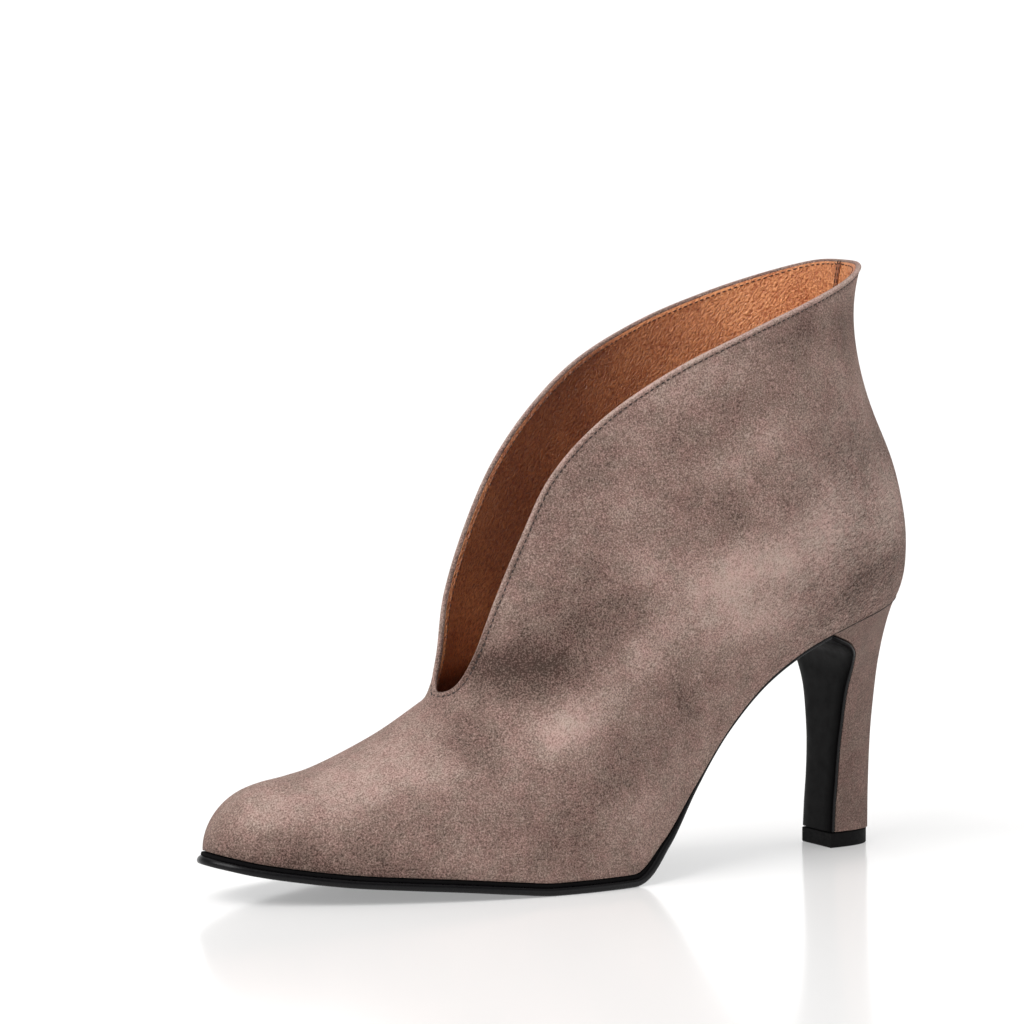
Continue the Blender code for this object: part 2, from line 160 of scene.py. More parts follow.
RIDGE_ROWS = (
    (0.926, 0.556, 0.074),
    (0.922, 0.560, 0.073),
    (0.908, 0.572, 0.068),
    (0.881, 0.590, 0.060),
    (0.842, 0.628, 0.047),
    (0.794, 0.710, 0.032),
    (0.742, 0.828, 0.014),
    (0.685, 1.000, 0.000),
)
COLLAR_COLUMNS = ("along", "lift", "half")
COLLAR_ROWS = (
    (0.685, 0.304, 0.000),
    (0.676, 0.317, 0.104),
    (0.660, 0.366, 0.168),
    (0.640, 0.458, 0.236),
    (0.606, 0.564, 0.273),
    (0.563, 0.668, 0.292),
    (0.498, 0.758, 0.352),
    (0.410, 0.836, 0.447),
    (0.305, 0.897, 0.500),
    (0.209, 0.941, 0.472),
    (0.130, 0.974, 0.375),
    (0.078, 0.996, 0.208),
    (0.064, 1.000, 0.000),
)
RIB_COLUMNS = ("low_out", "low_up", "top_out", "top_down")
RIB_ROWS = (
    (0.230, 0.350, 0.470, 0.000),
    (0.200, 0.370, 0.450, 0.000),
    (0.140, 0.410, 0.420, 0.000),
    (0.090, 0.430, 0.380, 0.000),
    (0.080, 0.440, 0.360, 0.000),
    (0.070, 0.430, 0.330, 0.000),
    (0.060, 0.410, 0.290, 0.010),
    (0.050, 0.390, 0.215, 0.030),
    (0.045, 0.370, 0.140, 0.080),
    (0.045, 0.360, 0.105, 0.150),
    (0.050, 0.350, 0.100, 0.230),
    (0.060, 0.340, 0.080, 0.290),
    (0.070, 0.330, 0.070, 0.320),
    (0.080, 0.330, 0.055, 0.330),
    (0.090, 0.330, 0.030, 0.330),
    (0.095, 0.330, 0.000, 0.330),
    (0.110, 0.320, -0.040, 0.330),
    (0.130, 0.300, -0.090, 0.340),
    (0.165, 0.275, -0.150, 0.350),
    (0.168, 0.265, -0.160, 0.359),
)
LAST = len(EDGE_ROWS) - 1
CUT = len(RIDGE_ROWS) - 1
NUDGE = 0.02
RIDGE_NUDGE = 0.2
RIBS_PER_ROW = 12
RIBS = LAST * RIBS_PER_ROW
RIB_SAMPLES = 64
BODY_ROWS = 50
SUEDE = 0.00135
RIM_STEPS = 10

# Depths below the collar's edge of the rows near it, close enough for the folded rim and its stitch line.
RIM_DEPTHS = (SUEDE / 2, 0.0010, 0.0013, 0.0016, 0.0019, 0.0022, 0.0026, 0.0031, 0.0038, 0.0048, 0.0062)
STITCH_INSET = 0.0017


def smooth(values, place, before, after):
    """Curve through evenly spaced values, read at a row number that may lie between two rows."""
    ends = [before] + list(values) + [after]
    low = min(max(int(place), 0), len(values) - 2)
    a, b, c, d = ends[low:low + 4]
    t = place - low
    square = 2 * a - 5 * b + 4 * c - d
    cube = 3 * b - a - 3 * c + d
    return b + 0.5 * ((c - a) * t + square * t ** 2 + cube * t ** 3)


def even(values, place):
    """Curve of a value that is the same on both sides of the shoe."""
    return smooth(values, place, values[1], values[-2])


def calm_slopes(steps):
    """Slopes at the inner rows of a curve, level where it turns back, so that it never swings past a row."""
    return [2 * a * b / (a + b) if a * b > 0 else 0.0 for a, b in zip(steps, steps[1:])]


def bend(low, high, start, end, t):
    """Cubic from one value to the next with given slopes at both, at a share t of the way."""
    step = high - low
    return low + start * t + (3 * step - 2 * start - end) * t * t + (start + end - 2 * step) * t ** 3


def settle(values, place):
    """Curve through evenly spaced values on which a level stretch stays level."""
    slopes = [0.0] + calm_slopes([b - a for a, b in zip(values, values[1:])]) + [0.0]
    low = min(max(int(place), 0), len(values) - 2)
    return bend(values[low], values[low + 1], slopes[low], slopes[low + 1], place - low)


EDGE = dict(zip(EDGE_COLUMNS, zip(*EDGE_ROWS)))
RIDGE = dict(zip(RIDGE_COLUMNS, zip(*RIDGE_ROWS)))
COLLAR = dict(zip(COLLAR_COLUMNS, zip(*COLLAR_ROWS)))
RIB = dict(zip(RIB_COLUMNS, zip(*RIB_ROWS)))


def edge_point(place, side):
    """Bottom edge of the upper. Side is 1 on the outer side and -1 on the inner side."""
    own, other = (EDGE["outer"], EDGE["inner"]) if side > 0 else (EDGE["inner"], EDGE["outer"])
    across = smooth(own, place, -other[1], -other[-2])
    height = BALL_HEIGHT + settle(EDGE["rise"], place) * HEEL_RISE
    return Vector((even(EDGE["along"], place) * LENGTH - HEEL_SETBACK, side * across * BALL_WIDTH, height))


def edge_outward(place, side):
    """Level direction that points out of the shoe, square to its bottom edge."""
    past = place + NUDGE
    ahead = edge_point(place - NUDGE, side) if place > NUDGE else edge_point(NUDGE - place, -side)
    behind = edge_point(past, side) if past < LAST else edge_point(2 * LAST - past, -side)
    run = behind - ahead
    return Vector((run.y * side, -run.x * side, 0.0)).normalized()


def top_point(place, side):
    """Top line: the ridge of the vamp, then the collar's edge."""
    if place <= CUT:
        along, height, across = (
            smooth(RIDGE[name], place, RIDGE[name][1], 2 * RIDGE[name][-1] - RIDGE[name][-2])
            for name in RIDGE_COLUMNS)
        return Vector((along * LENGTH - HEEL_SETBACK, -across * BALL_WIDTH, BALL_HEIGHT + height * INSTEP))
    turn = place - CUT
    lifts = (INSTEP / COLLAR_RISE,) + COLLAR["lift"][1:]
    halves = COLLAR["half"]
    across = side * smooth(halves, turn, -halves[1], -halves[-2]) * COLLAR_WIDTH
    height = BALL_HEIGHT + even(lifts, turn) * COLLAR_RISE
    return Vector((even(COLLAR["along"], turn) * LENGTH - HEEL_SETBACK, across, height))


def ridge_forward(place):
    """Direction of the vamp's ridge towards the toe, and level behind the front cut."""
    if place > CUT:
        return Vector((1.0, 0.0, 0.0))
    low = max(place - RIDGE_NUDGE, 0.0)
    return (top_point(low, 1) - top_point(low + RIDGE_NUDGE, 1)).normalized()


def rib_points(place, side):
    """Points of one rib, rows first from the top line down to the bottom edge."""
    foot = edge_point(place, side)
    head = top_point(place, side)
    span = (head - foot).length
    out = edge_outward(place, side)
    run = Vector((head.x - foot.x, 0.0, head.z - foot.z)).normalized()
    low_out, low_up, top_out, top_down = (even(RIB[name], place) * span for name in RIB_COLUMNS)
    along_top = ridge_forward(place) * out.x + Vector((0.0, out.y, 0.0))
    handles = [head, head + along_top * top_out - run * top_down, foot + out * low_out + run * low_up, foot]
    handles = np.array(handles)

    def curve(t):
        t = np.asarray(t)[:, None]
        u = 1 - t
        shares = (u ** 3, 3 * u * u * t, 3 * u * t * t, t ** 3)
        return sum(handle * share for handle, share in zip(handles, shares))

    shares = np.linspace(0, 1, RIB_SAMPLES)
    drawn = curve(shares)
    reach = np.concatenate([[0], np.cumsum(np.linalg.norm(np.diff(drawn, axis=0), axis=1))])
    start = RIM_DEPTHS[0] if place < CUT else 0.0
    depths = [depth - start for depth in RIM_DEPTHS]
    depths += [depths[-1] + (reach[-1] - depths[-1]) * k / BODY_ROWS for k in range(1, BODY_ROWS + 1)]
    return curve(np.interp(depths, reach, shares))


TINY = 1e-12


def grid_normals(points, quads):
    """Vertex normals of a mesh, as the mean of its faces' own, weighted by their areas."""
    corners = points[quads]
    way = np.cross(corners[:, 2] - corners[:, 0], corners[:, 3] - corners[:, 1])
    total = np.zeros_like(points)
    for k in range(4):
        np.add.at(total, quads[:, k], way)
    return total / np.maximum(np.linalg.norm(total, axis=1, keepdims=True), TINY)


columns = [(LAST * i / RIBS, 1) for i in range(RIBS + 1)]
columns += [(LAST * i / RIBS, -1) for i in range(RIBS - 1, 0, -1)]
ribs = np.array([rib_points(place, side) for place, side in columns])
row_count = ribs.shape[1]
index = np.arange(len(columns) * row_count).reshape(len(columns), row_count)
for i, (place, side) in enumerate(columns):
    if side < 0 and place <= CUT:
        index[i, 0] = index[len(columns) - i, 0]
skin = ribs.reshape(-1, 3)
after = np.roll(np.arange(len(columns)), -1)
skin_quads = np.stack([index[:, 1:], index[after, 1:], index[after, :-1], index[:, :-1]], axis=-1)
skin_quads = skin_quads.reshape(-1, 4)
skin_normals = grid_normals(skin, skin_quads)
if skin_normals[index[RIBS // 2, row_count // 2], 1] < 0:
    skin_quads = skin_quads[:, ::-1]
    skin_normals = -skin_normals
level_row = index[:, -1]
skin_normals[level_row] = [edge_outward(place, side) for place, side in columns]

# Collar's ring: its edge, and the direction out of the leather there.
BELOW_RIM = 4
ring_columns = [i for i, (place, side) in enumerate(columns) if place >= CUT][:-1]
ring = index[ring_columns, 0]
crest = np.array([top_point(*columns[i]) for i in ring_columns])
ring_run = np.roll(crest, -1, axis=0) - np.roll(crest, 1, axis=0)
ring_up = np.cross(ring_run, skin_normals[ring])
ring_up /= np.linalg.norm(ring_up, axis=1, keepdims=True)
below = skin[index[ring_columns, BELOW_RIM]]
ring_up *= np.sign(np.sum(ring_up * (crest - below), axis=1, keepdims=True))
ring_normal = skin_normals[ring].copy()

# Strokes on the outer side: where the nap was brushed, the painted light and shade on it, and the soft
# hollows and swells of the last under it. X and z are the middle of a stroke in the side view, long and wide
# its reach in mm, and turn its slope in degrees. Tone lightens or darkens the nap: partly its brushing and
# partly painted light and shade, lighter on tops that face the light and along the back edge, darker in the
# hollows, low on the toe and under the bulge at the back. Lift raises the leather in mm.
STROKE_COLUMNS = ("x", "z", "long", "wide", "turn", "tone", "lift")
BRUSH_AND_SHADE_ROWS = (
    (124, 64, 19, 7.5, -4, -0.42, -0.50),
    (113, 48, 13, 6, 159, 0.40, 0.45),
    (89, 65, 14, 6, 152, 0.20, 0.15),
    (58, 87, 24, 9, 164, 0.38, 0.10),
    (50, 74, 16, 6, 176, 0.26, 0.00),
    (86, 91, 9, 7, 4, 0.16, 0.05),
    (22, 103, 12, 9, 102, 0.34, 0.05),
    (2, 105, 14, 9, 100, 0.34, 0.00),
    (8, 134, 10, 8, 60, 0.12, 0.00),
    (-8, 105, 14, 8, 95, 0.20, 0.00),
    (105, 95, 9, 7, 0, -0.08, 0.00),
    (36, 92, 12, 8, 165, 0.18, 0.00),
    (46, 129, 8, 8, 90, 0.12, 0.00),
    (59, 120, 9, 4, 173, 0.14, 0.00),
    (89, 109, 7, 8, 90, 0.08, 0.00),
    (65, 107, 11, 7, 0, -0.14, 0.00),
    (100, 78, 22, 7, 165, -0.20, -0.15),
    (50, 138, 20, 6, 177, -0.08, 0.00),
    (75, 52, 10, 8, 135, -0.16, -0.10),
    (102, 32, 24, 8, 150, -0.16, -0.10),
    (120, 13, 13, 6, 176, -0.16, 0.00),
    (91, 23, 11, 6, 164, 0.10, 0.00),
    (141, 44, 6, 6, 172, -0.20, 0.00),
    (176, 32, 12, 6, 154, 0.26, 0.00),
    (158, 38, 12, 7, 164, 0.22, 0.00),
    (200, 28, 16, 7, 161, 0.34, 0.00),
    (5, 85, 12, 5, 163, -0.22, -0.10),
    (12, 160, 8, 9, 4, -0.22, -0.10),
    (35, 158, 14, 5, 168, -0.18, 0.00),
    (103, 118, 8, 6, 125, -0.10, 0.00),
    (74, 144, 24, 6, 162, 0.14, 0.00),
    (-9, 119, 19, 9, 102, 0.00, 1.10),
    (-15, 89, 8, 7, 90, 0.00, -0.35),
    (145, 9, 10, 7, 0, 0.10, 0.00),
    (108, 84, 13, 8, 150, -0.08, 0.00),
    (70, 128, 14, 8, 170, -0.06, 0.00),
)
INNER_SHARE = 0.35
MILLIMETRES = 1000
SIDE_BLEND = 0.003


def rise(values, start, end):
    """From 0 at the start to 1 at the end, and level past both."""
    return np.clip((values - start) / (end - start), 0, 1)


def strokes(points, rows, name):
    """Sum of the strokes' tone or lift at some points."""
    total = np.zeros(len(points))
    for row in rows:
        stroke = dict(zip(STROKE_COLUMNS, row))
        turn = math.radians(stroke["turn"])
        x = points[:, 0] * MILLIMETRES - stroke["x"]
        z = points[:, 2] * MILLIMETRES - stroke["z"]
        along = (x * math.cos(turn) + z * math.sin(turn)) / stroke["long"]
        across = (z * math.cos(turn) - x * math.sin(turn)) / stroke["wide"]
        total += stroke[name] * np.exp(-along ** 2 - across ** 2)
    return total


# The tone strokes carry painted light and shade as well as the nap's brushing.
def suede_strokes(points, name):
    """Strokes on the suede, in full on the outer side and fainter on the inner."""
    outer = INNER_SHARE + (1 - INNER_SHARE) * rise(points[:, 1], -SIDE_BLEND, SIDE_BLEND)
    return strokes(points, BRUSH_AND_SHADE_ROWS, name) * outer


def to_collar(points):
    """Distance from each point to the collar's edge."""
    best = np.full(len(points), np.inf)
    for start, step in zip(crest, np.roll(crest, -1, axis=0) - crest):
        share = np.clip((points - start) @ step / max(step @ step, TINY), 0, 1)
        best = np.minimum(best, np.linalg.norm(points - start - share[:, None] * step, axis=1))
    return best


skin += skin_normals * (suede_strokes(skin, "lift") / MILLIMETRES)[:, None]
skin_normals = grid_normals(skin, skin_quads)
skin_normals[level_row] = [edge_outward(place, side) for place, side in columns]


def shell(outer, inner, edge, lip, quads):
    """Closed wall between two faces with the same points, joined round the collar and underneath.

    Lip is a list of rows of points that round the collar's edge off, from the outer to the inner face.
    """
    count = len(skin)
    points = [outer, inner] + lip
    rows = [count * 2 + len(edge) * k + np.arange(len(edge)) for k in range(len(lip))]
    lines = [edge] + rows + [edge + count]
    faces = quads.tolist() + (quads[:, ::-1] + count).tolist()
    for first, second in zip(lines, lines[1:]):
        faces += np.stack([first, second, np.roll(second, -1), np.roll(first, -1)], axis=-1).tolist()
    bottom = np.stack([level_row, level_row + count, (level_row + count)[after], level_row[after]], axis=-1)
    faces += bottom[:, ::-1].tolist()
    return np.concatenate(points), faces


WELD = 1e-6


def tidy(item):
    """Drop loose points and doubles, and turn all faces outwards."""
    bm = bmesh.new()
    bm.from_mesh(item.data)
    bmesh.ops.remove_doubles(bm, verts=bm.verts[:], dist=WELD)
    bmesh.ops.delete(bm, geom=[vert for vert in bm.verts if not vert.link_faces], context="VERTS")
    bmesh.ops.recalc_face_normals(bm, faces=bm.faces[:])
    bm.to_mesh(item.data)
    bm.free()


# Patterns of the suede: repeats in a metre, the tones that they add to the nap, and their relief. The
# pebbles' tone is painted shade of their relief.
FLECKS = 2150.0
CLOUDS = 110.0
PEBBLES = 1250.0
DYE_PATCHES = 190.0
NOISE_LOW = 0.3
NOISE_HIGH = 0.7
CLOUD_TONE = 0.10
PEBBLE_SHADE = 0.09
PEBBLE_LEAN = 0.5
PEBBLE_STRETCH = 1.9
NAP_RELIEF = 0.0006
PLAIN_DYE = (0.95, 1.0, 0.98, 1.0)
PINKER_DYE = (1.0, 0.94, 0.945, 1.0)


def add(tree, kind, values=(), links=(), **settings):
    """Add a node with its settings, inputs and links."""
    item = tree.nodes.new(kind)
    for name, value in settings.items():
        setattr(item, name, value)
    return fill(item, values, links)


def suede(name, light, middle, dark, fleck):
    """Brushed calf suede: quite matt, with a short nap whose tone at each point holds painted light and
    shade too.

    The nap's fibres are under 0.1 mm, drawn here as flecks of about half a millimetre so that they show. The
    dye took a little pinker in some places, and the skin is pebbled where the last didn't stretch it. The
    pebbles are also shaded in the colour, which is painted shade.
    """
    material, tree, shader = new_material(name)
    place = add(tree, "ShaderNodeTexCoord").outputs["Object"]
    nap = add(tree, "ShaderNodeAttribute", attribute_name="nap")
    slack = add(tree, "ShaderNodeAttribute", attribute_name="slack")
    flecks = add(tree, "ShaderNodeTexNoise", {"Scale": FLECKS, "Detail": 2.0, "Roughness": 0.6},
                 {"Vector": place})
    clouds = add(tree, "ShaderNodeTexNoise", {"Scale": CLOUDS, "Detail": 4.0, "Roughness": 0.6},
                 {"Vector": place})
    lean = add(tree, "ShaderNodeMapping",
               {"Rotation": (0.0, PEBBLE_LEAN, 0.0), "Scale": (PEBBLE_STRETCH, 1.0, 1.0)}, {"Vector": place},
               vector_type="TEXTURE")
    pebbles = add(tree, "ShaderNodeTexNoise", {"Scale": PEBBLES, "Detail": 1.0},
                  {"Vector": lean.outputs["Vector"]})
    grain, drift, ripples = (
        add(tree, "ShaderNodeMapRange",
            {"From Min": NOISE_LOW, "From Max": NOISE_HIGH, "To Min": -reach, "To Max": reach},
            {"Value": noise.outputs["Fac"]})
        for noise, reach in ((flecks, fleck), (clouds, CLOUD_TONE), (pebbles, 1.0)))
    both = add(tree, "ShaderNodeMath", {}, {0: grain.outputs["Result"], 1: drift.outputs["Result"]})
    pebbled = add(tree, "ShaderNodeMath", {}, {0: ripples.outputs["Result"], 1: slack.outputs["Fac"]},
                  operation="MULTIPLY")
    nap_with_shade = add(tree, "ShaderNodeMath", {}, {0: both.outputs[0], 1: nap.outputs["Fac"]})
    # Tone: flecks, clouds and the nap's own tone with its painted light and shade, plus the pebbles' painted
    # shade.
    tone = add(tree, "ShaderNodeMath", {1: PEBBLE_SHADE}, {0: pebbled.outputs[0], 2: nap_with_shade.outputs[0]},
               operation="MULTIPLY_ADD")
    colour = add(tree, "ShaderNodeValToRGB", {}, {"Fac": tone.outputs[0]})
    colour.color_ramp.elements[0].color = linear(dark)
    colour.color_ramp.elements[1].color = linear(light)
    colour.color_ramp.elements.new(0.5).color = linear(middle)
    dye = add(tree, "ShaderNodeTexNoise", {"Scale": DYE_PATCHES, "Detail": 3.0, "Roughness": 0.6},
              {"Vector": place})
    hue = add(tree, "ShaderNodeValToRGB", {}, {"Fac": dye.outputs["Fac"]})
    for element, position, tint in zip(hue.color_ramp.elements, (0.35, 0.65), (PLAIN_DYE, PINKER_DYE)):
        element.position = position
        element.color = tint
    dyed = add(tree, "ShaderNodeMix", {"Factor": 1.0}, {6: colour.outputs["Color"], 7: hue.outputs["Color"]},
               data_type="RGBA", blend_type="MULTIPLY")
    relief = add(tree, "ShaderNodeMath", {}, {0: pebbled.outputs[0], 1: flecks.outputs["Fac"]})
    bump = add(tree, "ShaderNodeBump", {"Strength": 1.0, "Distance": NAP_RELIEF},
               {"Height": relief.outputs[0]})
    fill(shader, {"Roughness": 0.95, "Specular IOR Level": 0.15, "Sheen Weight": 0.25,
                  "Sheen Roughness": 0.5, "Sheen Tint": linear("#d8c4ba")},
         {"Base Color": dyed.outputs[2], "Normal": bump.outputs["Normal"]})
    return material


def set_nap_shade_and_slack(item, values, slack):
    """Tone of the nap, with its painted light and shade, and slackness of the skin at each point."""
    item.data.attributes.new("nap", "FLOAT", "POINT").data.foreach_set("value", values)
    item.data.attributes.new("slack", "FLOAT", "POINT").data.foreach_set("value", slack)


def places_of(item):
    """Points of a piece, as rows of X, Y and Z."""
    flat = np.empty(len(item.data.vertices) * 3)
    item.data.vertices.foreach_get("co", flat)
    return flat.reshape(-1, 3)


taupe = suede("calf_suede", "#c9ada3", "#8e756c", "#463630", 0.37)
RIM_SWELL = 0.0003
RIM_FOLD = 0.0012
GROOVE_DEPTH = 0.00015
GROOVE_WIDTH = 0.00035
near_collar = to_collar(skin)
groove = GROOVE_DEPTH * np.exp(-((near_collar - STITCH_INSET) / GROOVE_WIDTH) ** 2)
fold = RIM_SWELL * np.exp(-(near_collar / RIM_FOLD) ** 4)
roll = (SUEDE + RIM_SWELL) / 2
base = crest - ring_up * roll + ring_normal * RIM_SWELL
rolled = [base + ring_up * (roll * math.sin(a)) - ring_normal * (roll * (1 - math.cos(a)))
          for a in np.linspace(0, math.pi, RIM_STEPS + 1)[1:-1]]
points, faces = shell(skin + skin_normals * (fold - groove)[:, None], skin - skin_normals * SUEDE, ring,
                      rolled, skin_quads)
upper = new_piece("upper_suede", points, faces, [taupe])
tidy(upper)
coords = places_of(upper)

# Tones of the nap: a painted highlight along the rolled rim, painted shade in the needle groove, and painted
# shade low on the toe, where the leather turns down from the light. The skin is slack, and so pebbled, at
# the back below the collar. Ranges run along X or Z, in metres.
NAP = 0.488
NAP_CONTRAST = 1.1
RIM_HIGHLIGHT = 0.42
RIM_WIDTH = 0.0009
RIM_Z = (0.080, 0.140)
RIM_LEAST = 0.35
GROOVE_SHADE = -0.12
GROOVE_SHADE_WIDTH = 0.00045
LOW_SHADE = -0.34
LOW_HEIGHT = 0.010
LOW_X = (0.12, 0.19)
LOW_LEAST = 0.05
SLACK = 1.2
SLACK_X = (0.055, 0.015)
SLACK_Z = (0.150, 0.120)
from_collar = to_collar(coords)
# Painted highlight along the rim, and painted shade in the needle groove.
rim = RIM_HIGHLIGHT * np.exp(-(from_collar / RIM_WIDTH) ** 2) * np.maximum(rise(coords[:, 2], *RIM_Z), RIM_LEAST)
rim += GROOVE_SHADE * np.exp(-((from_collar - STITCH_INSET) / GROOVE_SHADE_WIDTH) ** 2)
edge_line = np.array([edge_point(LAST * i / RIBS, 1) for i in range(RIBS, -1, -1)])
above = coords[:, 2] - np.interp(coords[:, 0], edge_line[:, 0], edge_line[:, 2])
# Painted shade low on the toe, fading upwards from the bottom edge.
low_shade_band = np.exp(-np.maximum(above, 0) / LOW_HEIGHT) * np.maximum(rise(coords[:, 0], *LOW_X), LOW_LEAST)
slack = SLACK * rise(coords[:, 0], *SLACK_X) * rise(coords[:, 2], *SLACK_Z)
set_nap_shade_and_slack(upper, NAP + NAP_CONTRAST * suede_strokes(coords, "tone") + rim + LOW_SHADE * low_shade_band, slack)
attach(upper, "root")
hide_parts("upper")

# Lining: smooth cognac calf, glued inside the suede. Its cut edge shows as a thin light line inside the
# folded collar, and it has creased into fine diagonal wrinkles over the last.
GLUE = 0.00002

# Patterns of the smooth leathers: repeats in a metre, and what they add to the creases' colour and relief.
# The creases' colour is painted shade in their troughs and painted highlight on their crests.
PORES = 1600.0
STAINS = 60.0
PORE_SHARE = 0.12
STAIN_SHARE = 0.5
DARKEST = 0.50
LIGHTEST = 1.02


def leather(name, light, dark, stretch, turn, wrinkle_size, wrinkle_depth, roughness):
    """Smooth calf, drum dyed and lightly finished: a soft sheen over creases and pores.

    Creases are one or two wrinkle sizes apart, and are drawn out along the axis that the stretch lengthens.
    Their colour is painted shade in the troughs and painted highlight on the crests, mixed with stains.
    """
    material, tree, shader = new_material(name)
    place = add(tree, "ShaderNodeTexCoord").outputs["Object"]
    turned_place = add(tree, "ShaderNodeMapping", {"Rotation": turn, "Scale": stretch}, {"Vector": place},
                       vector_type="TEXTURE")
    creases = add(tree, "ShaderNodeTexNoise",
                  {"Scale": 1.0 / wrinkle_size, "Detail": 2.0, "Roughness": 0.5, "Distortion": 0.5},
                  {"Vector": turned_place.outputs["Vector"]})
    pores = add(tree, "ShaderNodeTexVoronoi", {"Scale": PORES}, {"Vector": place})
    clouds = add(tree, "ShaderNodeTexNoise", {"Scale": STAINS, "Detail": 3.0}, {"Vector": place})
    # The stains' own tone, mixed with the creases' painted shade and highlight.
    mixed = add(tree, "ShaderNodeMath", {1: STAIN_SHARE},
                {0: clouds.outputs["Fac"], 2: creases.outputs["Fac"]}, operation="MULTIPLY_ADD")
    shade = add(tree, "ShaderNodeMapRange", {"From Min": DARKEST, "From Max": LIGHTEST},
                {"Value": mixed.outputs[0]})
    colour = add(tree, "ShaderNodeValToRGB", {}, {"Fac": shade.outputs["Result"]})
    colour.color_ramp.elements[0].color = linear(dark)
    colour.color_ramp.elements[1].color = linear(light)
    height = add(tree, "ShaderNodeMath", {1: PORE_SHARE},
                 {0: pores.outputs["Distance"], 2: creases.outputs["Fac"]}, operation="MULTIPLY_ADD")
    bump = add(tree, "ShaderNodeBump", {"Strength": 1.0, "Distance": wrinkle_depth},
               {"Height": height.outputs[0]})
    painted_shade_and_edge = add(tree, "ShaderNodeAttribute", attribute_name="painted_shade_and_edge")
    painted_shade_mix = add(tree, "ShaderNodeMix", {"Factor": 1.0},
                {6: colour.outputs["Color"], 7: painted_shade_and_edge.outputs["Color"]},
                data_type="RGBA", blend_type="MULTIPLY")
    fill(shader, {"Roughness": roughness},
         {"Base Color": painted_shade_mix.outputs[2], "Normal": bump.outputs["Normal"]})
    return material


# Powers that tint the painted shade redder as it darkens.
SHADE_RED_POWER = 0.80
SHADE_BLUE_POWER = 1.15


def set_painted_shade(item, values):
    """Painted light and shade, and the cut edge's lighter tone, that multiply the leather's colour at each
    point.
    """
    colours = np.asarray(values)[:, None] ** [SHADE_RED_POWER, 1.0, SHADE_BLUE_POWER, 1.0]
    item.data.attributes.new("painted_shade_and_edge", "FLOAT_COLOR", "POINT").data.foreach_set("color", colours.ravel())


cognac = leather("cognac_calf", "#f6a870", "#a1522e", (1.0, 1.0, 2.0), (0.0, -0.62, 0.0), 0.00056, 0.0014,
                 0.34)
LINING_TOP = 0.0010
RAW_EDGE = 0.0007
THINNEST = 0.08
full_ring = ring_columns + [ring_columns[-1] + 1]
lining_edge = np.append(index[full_ring, 1], ring[0])
open_column = np.array([place >= CUT for place, side in columns])
above_edge = np.zeros((len(columns), row_count - 1), bool)
above_edge[open_column & open_column[after], 0] = True
share = np.clip((near_collar - LINING_TOP) / RAW_EDGE, THINNEST, 1)
points, faces = shell(skin - skin_normals * (SUEDE + GLUE),
                      skin - skin_normals * (SUEDE + GLUE + (WALL - SUEDE - GLUE) * share)[:, None],
                      lining_edge, [], skin_quads[~above_edge.ravel()])
lining = new_piece("lining", points, faces, [cognac])
tidy(lining)
lining_places = places_of(lining)

# Painted light and shade on the lining: painted shade darker down the throat of the cut and deepest at the
# bottom of the V, painted shadow under the far rim and on the near back wall, and painted light at the back
# and low in the V, all tinted redder as they darken. The cut edge has no finish and is lighter, and is
# painted lighter still down the throat, where less light reaches it. Ranges run along X or Z, in metres.
SHADED_ROWS = (
    (82, 147, 26, 9, 147, -0.26),
    (120, 70, 18, 14, 100, 0.80),
    (0, 172, 10, 10, 90, -0.30),
    (20, 160, 22, 10, 165, 0.35),
)
THROAT_SHADE = 0.48
THROAT_X = (0.038, 0.078)
BACK_LIGHT = 0.34
BACK_X = (0.030, 0.000)
DEEP_SHADE = 0.75
DEEP_X = (0.105, 0.115)
DEEP_Z = (0.062, 0.056)
RAW_SHADE = 1.05
THROAT_EDGE_LIGHT = 4.0
RAW_Z = (0.150, 0.090)
RAW_LEAST = 0.25
RAW_BLEND = (0.0001, -0.0003)
lining_x, lining_z = lining_places[:, 0], lining_places[:, 2]
throat = rise(lining_x, *THROAT_X)
shade = 1.0 - THROAT_SHADE * throat + BACK_LIGHT * rise(lining_x, *BACK_X)
shade += strokes(lining_places, SHADED_ROWS, "tone")
shade *= 1.0 - DEEP_SHADE * rise(lining_x, *DEEP_X) * rise(lining_z, *DEEP_Z)
# The cut edge's own lighter tone, with painted light added down the throat.
raw_shade = RAW_SHADE + THROAT_EDGE_LIGHT * throat * np.maximum(rise(lining_z, *RAW_Z), RAW_LEAST)
raw = rise(to_collar(lining_places) - LINING_TOP - RAW_EDGE, *RAW_BLEND)
set_painted_shade(lining, shade * (1 - raw) + raw_shade * raw)
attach(lining, "root")

# Back strip: the lining is joined at the centre of the back. A narrow strip of the same leather, stitched
# down each edge, covers its seam so that it doesn't rub.
STRIP_FRONT = 18.9
STRIP_THICKNESS = 0.0004
STRIP_TOP_ROW = 2
STRIP_BOTTOM_ROW = 48
STRIP_STITCHES = 0.7
# Painted shade factor for the strip on the back wall.
STRIP_PAINTED_SHADE = 0.56


def grid_faces(grid):
    """Faces between neighbouring points of a grid."""
    return np.stack([grid[:-1, :-1], grid[:-1, 1:], grid[1:, 1:], grid[1:, :-1]], -1).reshape(-1, 4)


strip_columns = [i for i, (place, side) in enumerate(columns) if place >= STRIP_FRONT]
block = index[strip_columns][:, STRIP_TOP_ROW:STRIP_BOTTOM_ROW]
laid_on = skin[block] - skin_normals[block] * (WALL + GLUE)
worn = skin[block] - skin_normals[block] * (WALL + STRIP_THICKNESS)
size = block.size
cells = np.arange(size).reshape(block.shape)
quads = grid_faces(cells)
faces = quads.tolist() + (quads[:, ::-1] + size).tolist()
rim_line = list(cells[0]) + list(cells[1:, -1]) + list(cells[-1, -2::-1]) + list(cells[-2:0:-1, 0])
faces += [(a, b, b + size, a + size) for a, b in zip(rim_line, rim_line[1:] + rim_line[:1])]
